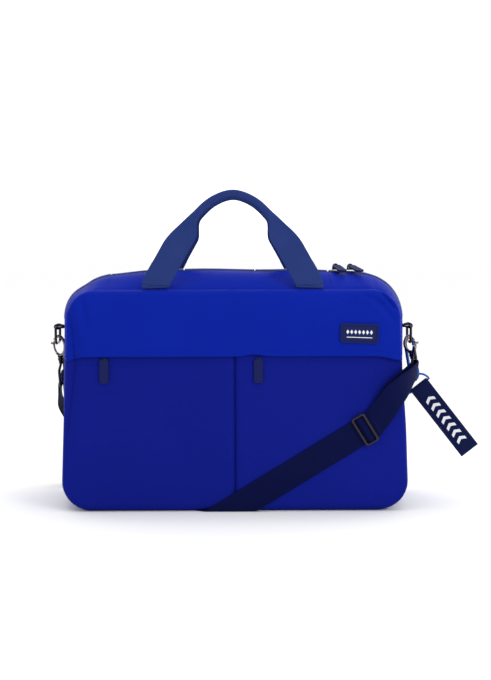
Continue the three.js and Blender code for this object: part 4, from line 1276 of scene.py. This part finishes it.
# ---- shoulder strap ----
SLOPE = radians(31.5)
ALONG = Vector((cos(SLOPE), 0, sin(SLOPE)))
ACROSS = Vector((-sin(SLOPE), 0, cos(SLOPE))) * STRAP_HALF
ADJUSTER = Vector((155, 0, 98))
LAYER_1 = POCKET_FACE - GAP - WEBBING / 2 - 0.2
LAYER_2 = LAYER_1 - WEBBING - 1.1
FLOOR_1, FLOOR_2, FLOOR_3 = 1, 3.4, 5.8
FOLD = 1.2
REAR_Y = 96
UNDER_X = -114
LOOP_RADIUS = EYE_WIRE + GAP + WEBBING / 2 + 0.2


def on_front(distance, y):
    """A point of the strap's front stretch, at a distance from the adjuster."""
    point = ADJUSTER + ALONG * distance
    return Vector((point.x, y, point.z))


def strap_turn(centre, out, half, low, high):
    """Half a turn from one layer on the floor to the next."""
    stations = []
    for c, s in half_turn(5):
        point = Vector(centre) + Vector(out) * (FOLD * s)
        point.z = (low + high) / 2 - (high - low) / 2 * c
        stations.append((point, Vector(half)))
    return stations


def level(x, z):
    """A station of the strap where it lies flat behind the bag."""
    return (Vector((x, REAR_Y, z)), Vector((0, -STRAP_HALF, 0)))


def strap_under():
    """From the front stretch round the bag's lower edge and under the bag."""
    slant = Vector((-STRAP_HALF / sin(SLOPE), 0, 0))
    shift = 1 / tan(SLOPE)
    edge = ADJUSTER.x - ADJUSTER.z * shift
    steps = ((6, 0, 6), (3.4, 0.2, 3.4), (1.8, 0.9, 1.8), (0, 2.2, FLOOR_1), (-9, 11, FLOOR_1))
    stations = [(Vector((edge + a * shift, LAYER_1 + y, z)), slant) for a, y, z in steps]
    floor = ((-62, -44, -8.4, -13.6), (-88, -20, -12, -10.6), (-106, 12, -15, -5.6),
             (UNDER_X, 48, -STRAP_HALF, 0), (UNDER_X, REAR_Y - STRAP_HALF - 5, -STRAP_HALF, 0))
    return stations + [(Vector((x, y, FLOOR_1)), Vector((a, b, 0))) for x, y, a, b in floor]


def strap_rear():
    """The flat S behind the bag."""
    first = Vector((-1, 1, 0)).normalized()
    return [
        *strap_turn((UNDER_X, REAR_Y, 0), first, (-STRAP_HALF, -STRAP_HALF, 0), FLOOR_1, FLOOR_2),
        level(-88, FLOOR_2), level(-62, 2.2), level(-40, FLOOR_1), level(40, FLOOR_1),
        *strap_turn((110, REAR_Y, 0), (1, 0, 0), (0, -STRAP_HALF, 0), FLOOR_1, FLOOR_2),
        level(10, FLOOR_2), level(-38, FLOOR_2 + 0.6), level(-68, FLOOR_3),
        level(-140, FLOOR_3), level(-172, 4.4),
    ]


def hook_frame(word):
    """Side, downward direction, direction of the eye's bar and its centre."""
    side, claw, tilt = HOOKS[word]
    angle = radians(tilt)
    down = Vector((0, sin(angle), -cos(angle)))
    bar = Vector((0, cos(angle), sin(angle)))
    return side, down, bar, claw + down * EYE_DISTANCE


def round_bar(word):
    """The strap's half turn round the bar of an eye."""
    side, down, _, eye = hook_frame(word)
    points = []
    for c, s in half_turn(8):
        point = eye - down * (LOOP_RADIUS * s)
        point.x += side * LOOP_RADIUS * c
        points.append(point)
    return points


def strap_stations():
    """The whole strap from its end at the left eye to its end at the adjuster."""
    _, left_down, left_bar, left_eye = hook_frame("left")
    _, _, right_bar, right_eye = hook_frame("right")
    left_half, right_half = left_bar * -STRAP_HALF, right_bar * -STRAP_HALF
    drop = [
        ((-204, REAR_Y, 10), (0, -STRAP_HALF, 0)), ((-215, 95, 22), (0, -STRAP_HALF, 0)),
        ((-217, 90, 42), (0, -15.8, -2)), ((-213, 81, 62), (0, -15.6, -3.6)),
        ((-212, 70, 82), (0, -15.3, -4.6)), ((-217, 60, 101), (0, -14.8, -6)),
        ((-223, 51, 118), (0, -14.4, -7)), ((-222, 45, 133), left_half),
    ]
    drop = [(Vector(c), Vector(h)) for c, h in drop]
    inward = Vector((LOOP_RADIUS, 0, 0))
    tail = [(left_eye + left_down * 10 + inward, left_half), (left_eye + left_down * 24 + inward, left_half)]
    front = [(on_front(s, y), ACROSS) for s, y in (
        (-125, LAYER_1), (-90, LAYER_1), (-55, LAYER_1), (-20, LAYER_1), (-8.8, LAYER_1 - 0.1),
        (-5.6, LAYER_1 - 0.7), (0, LAYER_1 - 4.9), (5.4, LAYER_2 - 0.1), (9, LAYER_2))]
    doubled = [
        ((178, -85.2, 123.5), (-9.4, -1.5, 12.7)), ((188, -87, 138.5), (-9.6, -5, 11.8)),
        ((198.5, -85, 151), (-7.2, -9, 11.2)), ((207.5, -78.5, 160.5), (-3.6, -11.6, 10.4)),
        ((213.8, -69, 165.5), (-1, -11.2, 11.4)),
    ]
    doubled = [(Vector(c), Vector(h)) for c, h in doubled]

    def layer(face):
        """One of the two layers between the adjuster and the right eye."""
        moved = []
        for i, (centre, half) in enumerate(doubled):
            before = doubled[i - 1][0] if i else on_front(9, LAYER_2)
            after = doubled[i + 1][0] if i + 1 < len(doubled) else right_eye
            normal = (after - before).cross(half).normalized()
            apart = face * (1.35 + (LOOP_RADIUS - 1.35) * (i + 1) / len(doubled))
            moved.append((centre + normal * apart, half))
        return moved

    left_loop = [(p, left_half) for p in round_bar("left")]
    right_loop = [(p, right_half) for p in round_bar("right")]
    returned = [(on_front(12, LAYER_1), ACROSS), (on_front(4.5, LAYER_1), ACROSS)]
    return [*tail[::-1], *left_loop[::-1], *drop[::-1], *strap_rear()[::-1], *strap_under()[::-1],
            *front, *layer(1), *right_loop, *layer(-1)[::-1], *returned]


strap = webbing_piece("strap", strap_stations(), STRAP_WEB, 1.5, 4)
finish(strap, "bag", ["shoulder_strap"])

adjuster_frame = Matrix.Translation((ADJUSTER.x, LAYER_1 - 4.3, ADJUSTER.z)) @ Matrix.Rotation(-SLOPE, 4, "Y")
tipped = adjuster_frame @ Matrix.Rotation(radians(-6.5), 4, "Z")
bar_line = at_place(adjuster_frame, [(0, 1.9, -17.6), (0, 1.9, 0), (0, 1.9, 17.6)])
adjuster = joined("adjuster", [
    plate("adjuster_frame", rounded_outline(18, 37.5, 3.4), -1.3, 1.3, GUNMETAL, 0.7, tipped,
          rounded_outline(11.8, 32.4, 1.6)),
    tube("adjuster_bar", bar_line, 1.2, GUNMETAL, (0, 1, 0)),
])
finish(adjuster, "bag", ["strap_adjuster"])
box = ((14, -0.8), (14, 0.8), (19, 0.8), (19, -0.8), (14, -0.8))
box_line = [on_front(s, LAYER_2 - 1.0) + ACROSS * a for s, a in box]
finish(stitches("strap_thread", box_line, (0, -1, 0), 2.8, 1.9, 0.25), "bag")


# ---- carabiner and tag ----
hanging = turned(RING_X, 8, RING_BOW_Z + 6.2, (-9.5, "Y"), (50, "Z"))
half, length = 9, 55
line = [(half, 0, -half - 4)]
line += [(half * c, 0, -half + half * s) for c, s in half_turn(16)]
line += [(-half * c, 0, half - length - half * s) for c, s in half_turn(16)]
line.append((half, 0, half - length + 4))
facing = direction(hanging, 0, 1, 0)
loop = tube("carabiner_body", at_place(hanging, line), 2.0, BLUE_METAL, facing)
finish(loop, "carabiner", ["carabiner"])
reach = (length - 2 * half - 8.8) / 2
gate_end = [(1.0, reach), (1.5, reach - 0.5), (1.6, reach - 2)]
gate_profile = gate_end + [(r, -z) for r, z in gate_end[::-1]]
gate_place = hanging @ Matrix.Translation((half, 0, -length / 2))
latch = lathe("carabiner_latch", gate_profile, gate_place, BLUE_METAL)
finish(latch, "carabiner_gate", ["carabiner_gate"])

tag_place = turned(231.5, 8, 139.5, (-38, "Y"))
tag_half, tag_length, tag_thick, tag_wire = 12.8, 103, 1.4, 1.3
ring_line = [((tag_half + 2.4) * c, 0, 15 * s) for c, s in half_turn(26)]
ring_line += [(x, 0, 0) for x in (-10, -5, 0, 5, 10)]
facing = direction(tag_place, 0, 1, 0)
tag_loop = tube("tag_loop", at_place(tag_place, ring_line), tag_wire, BLUE_METAL, facing, closed=True)
finish(tag_loop, "tag_ring", ["tag_ring"])
bend, pressed = tag_wire + GAP + tag_thick / 2, tag_thick / 2 + 0.2
route = [(0, -pressed, -tag_length), (0, -pressed, -60), (0, -pressed, -12), (0, -bend, -3)]
route += [(0, -bend * c, bend * s) for c, s in half_turn(9)]
route += [(0, bend, -3), (0, pressed, -12), (0, pressed, -60), (0, pressed, -tag_length)]
wide = direction(tag_place, tag_half, 0, 0)
stations = [(tag_place @ Vector(p), wide) for p in route]
finish(webbing_piece("tag_web", stations, TAG_WEB, tag_thick), "tag", ["tag"])
marks = []
outline = ((-11, -9), (11, -9), (11, -100.5), (-11, -100.5), (-11, -9))
for side in (-1, 1):
    y = side * (pressed + tag_thick / 2)
    low, high = sorted((y, y + side * 0.3))
    for k in range(7):
        z = -22 - k * 10.5
        chevron = [(-6.2, z - 3.4), (0, z + 0.2), (6.2, z - 3.4), (6.2, z + 0.8), (0, z + 4.4), (-6.2, z + 0.8)]
        marks.append(plate(f"tag_mark_{side}_{k}", chevron, low, high, WHITE, 0.08, tag_place))
finish(joined("tag_marks", marks), "tag")
for side, word in SIDES:
    y = side * (pressed + tag_thick / 2 + 0.05)
    line = at_place(tag_place, [(x, y, z) for x, z in outline])
    thread = stitches(f"tag_thread_{word}", line, direction(tag_place, 0, side, 0), 2.8, 1.9, 0.24)
    finish(thread, "tag")


# ---- back sleeve ----
SLEEVE_HALF, SLEEVE_LOW, SLEEVE_HIGH, SLEEVE_RISE = 110, 70, 205, 10.4
rows = []
for z in np.linspace(SLEEVE_LOW, SLEEVE_HIGH, 40):
    row = []
    for x in np.linspace(-SLEEVE_HALF, SLEEVE_HALF, 70):
        rise = side_roll(SLEEVE_HALF - abs(x), 12)
        sag = 0.8 * sin(x / 30) * sin(z / 22)
        end = min(z - SLEEVE_LOW, SLEEVE_HIGH - z)
        bulge = SLEEVE_RISE - 0.5 * (1 + sag) + 0.6 * valley(end - 2, 1.6)
        row.append((x, BACK_FACE + 0.6 + bulge * rise, z))
    rows.append(row)
sleeve = lined(sheet_piece("sleeve", rows, NYLON, 2.2))
finish(sleeve, "bag", ["luggage_sleeve"])
for word, z in (("low", SLEEVE_LOW + 5), ("high", SLEEVE_HIGH - 5)):
    line = [(x, BACK_FACE + 11.4, z) for x in np.linspace(-SLEEVE_HALF + 12, SLEEVE_HALF - 12, 20)]
    finish(stitches(f"sleeve_thread_{word}", line, (0, 1, 0)), "bag")


# ---- laptop compartment ----
DIVIDER_SIZE, DIVIDER_MIDDLE = (360, 196), 106.5
DIVIDER_FRONT, DIVIDER_REAR = 20.4, 26.6
corners = [(x, z + DIVIDER_MIDDLE) for x, z in rounded_outline(*DIVIDER_SIZE, 14, 10)]
dense = []  # the divider's outline, with points less than 24 mm apart
for (x, z), (x_next, z_next) in zip(corners, corners[1:] + corners[:1]):
    pieces = max(1, int(hypot(x_next - x, z_next - z) / 12))
    dense += [(x + (x_next - x) * j / pieces, z + (z_next - z) * j / pieces) for j in range(pieces)]
divider = pillow("divider", dense, DIVIDER_FRONT, DIVIDER_REAR, 9, LINING)
finish(divider, "bag", ["laptop_divider"])
binding_line = [(x, (DIVIDER_FRONT + DIVIDER_REAR) / 2, z) for x, z in dense]
binding = tube("divider_binding", binding_line, 1.7, STRAP_WEB, (0, 1, 0), closed=True, sides=10)
finish(binding, "bag")
LAPTOP_STRAP_Z, LAPTOP_STRAP_HALF = 208, 19
stations = [((0, y, LAPTOP_STRAP_Z + 0.3 * sin(y / 9)), (LAPTOP_STRAP_HALF, 0, 0))
            for y in (59, 52, 44, 36, 28, 22, 17)]
closing_strap = webbing_piece("closing_strap_web", stations, STRAP_WEB, 1.8)
finish(closing_strap, "closing_strap", ["laptop_strap"])


# ---- floor and light ----
floor_mesh = bpy.data.meshes.new("floor")
FLOOR_HALF = 60
floor_corners = [(x * FLOOR_HALF, y * FLOOR_HALF, 0) for x, y in ((-1, -1), (1, -1), (1, 1), (-1, 1))]
floor_mesh.from_pydata(floor_corners, [], [(0, 1, 2, 3)])
floor_look = Look("floor", (0.94, 0.94, 0.94), 0.9, Specular_IOR_Level=0.0)
floor_look.tint(floor_look.noise(floor_look.place(), 3, 2), 0.99, 1.01)
floor_mesh.materials.append(floor_look.material)
floor = scene_object("floor", floor_mesh)

# White surroundings, brighter behind the bag than in front of it.
world = bpy.data.worlds.new("studio")
world.use_nodes = True
nodes, link = world.node_tree.nodes, world.node_tree.links.new
background = nodes["Background"]
heading = nodes.new("ShaderNodeTexCoord")
parts_of = nodes.new("ShaderNodeSeparateXYZ")
strength = nodes.new("ShaderNodeMapRange")
for key, value in (("From Min", -0.4), ("From Max", 0.4), ("To Min", 0.70), ("To Max", 1.42)):
    strength.inputs[key].default_value = value
link(heading.outputs["Generated"], parts_of.inputs["Vector"])
link(parts_of.outputs["Y"], strength.inputs["Value"])
link(strength.outputs["Result"], background.inputs["Strength"])
background.inputs["Color"].default_value = (1, 1, 1, 1)
bpy.context.scene.world = world
bpy.context.scene.view_settings.view_transform = "Standard"


def area_light(name, power, size, position, target):
    light = bpy.data.lights.new(name, "AREA")
    light.energy = power
    light.shape = "RECTANGLE"
    light.size, light.size_y = size
    obj = scene_object(name, light)
    obj.location = position
    obj.rotation_euler = (Vector(target) - Vector(position)).to_track_quat("-Z", "Y").to_euler()


area_light("overhead", 5, (1.2, 0.9), (0, -0.1, 1.5), (0, 0, 0.1))
area_light("key", 12, (0.7, 0.7), (1.2, -1.5, 0.95), (0, 0, 0.18))
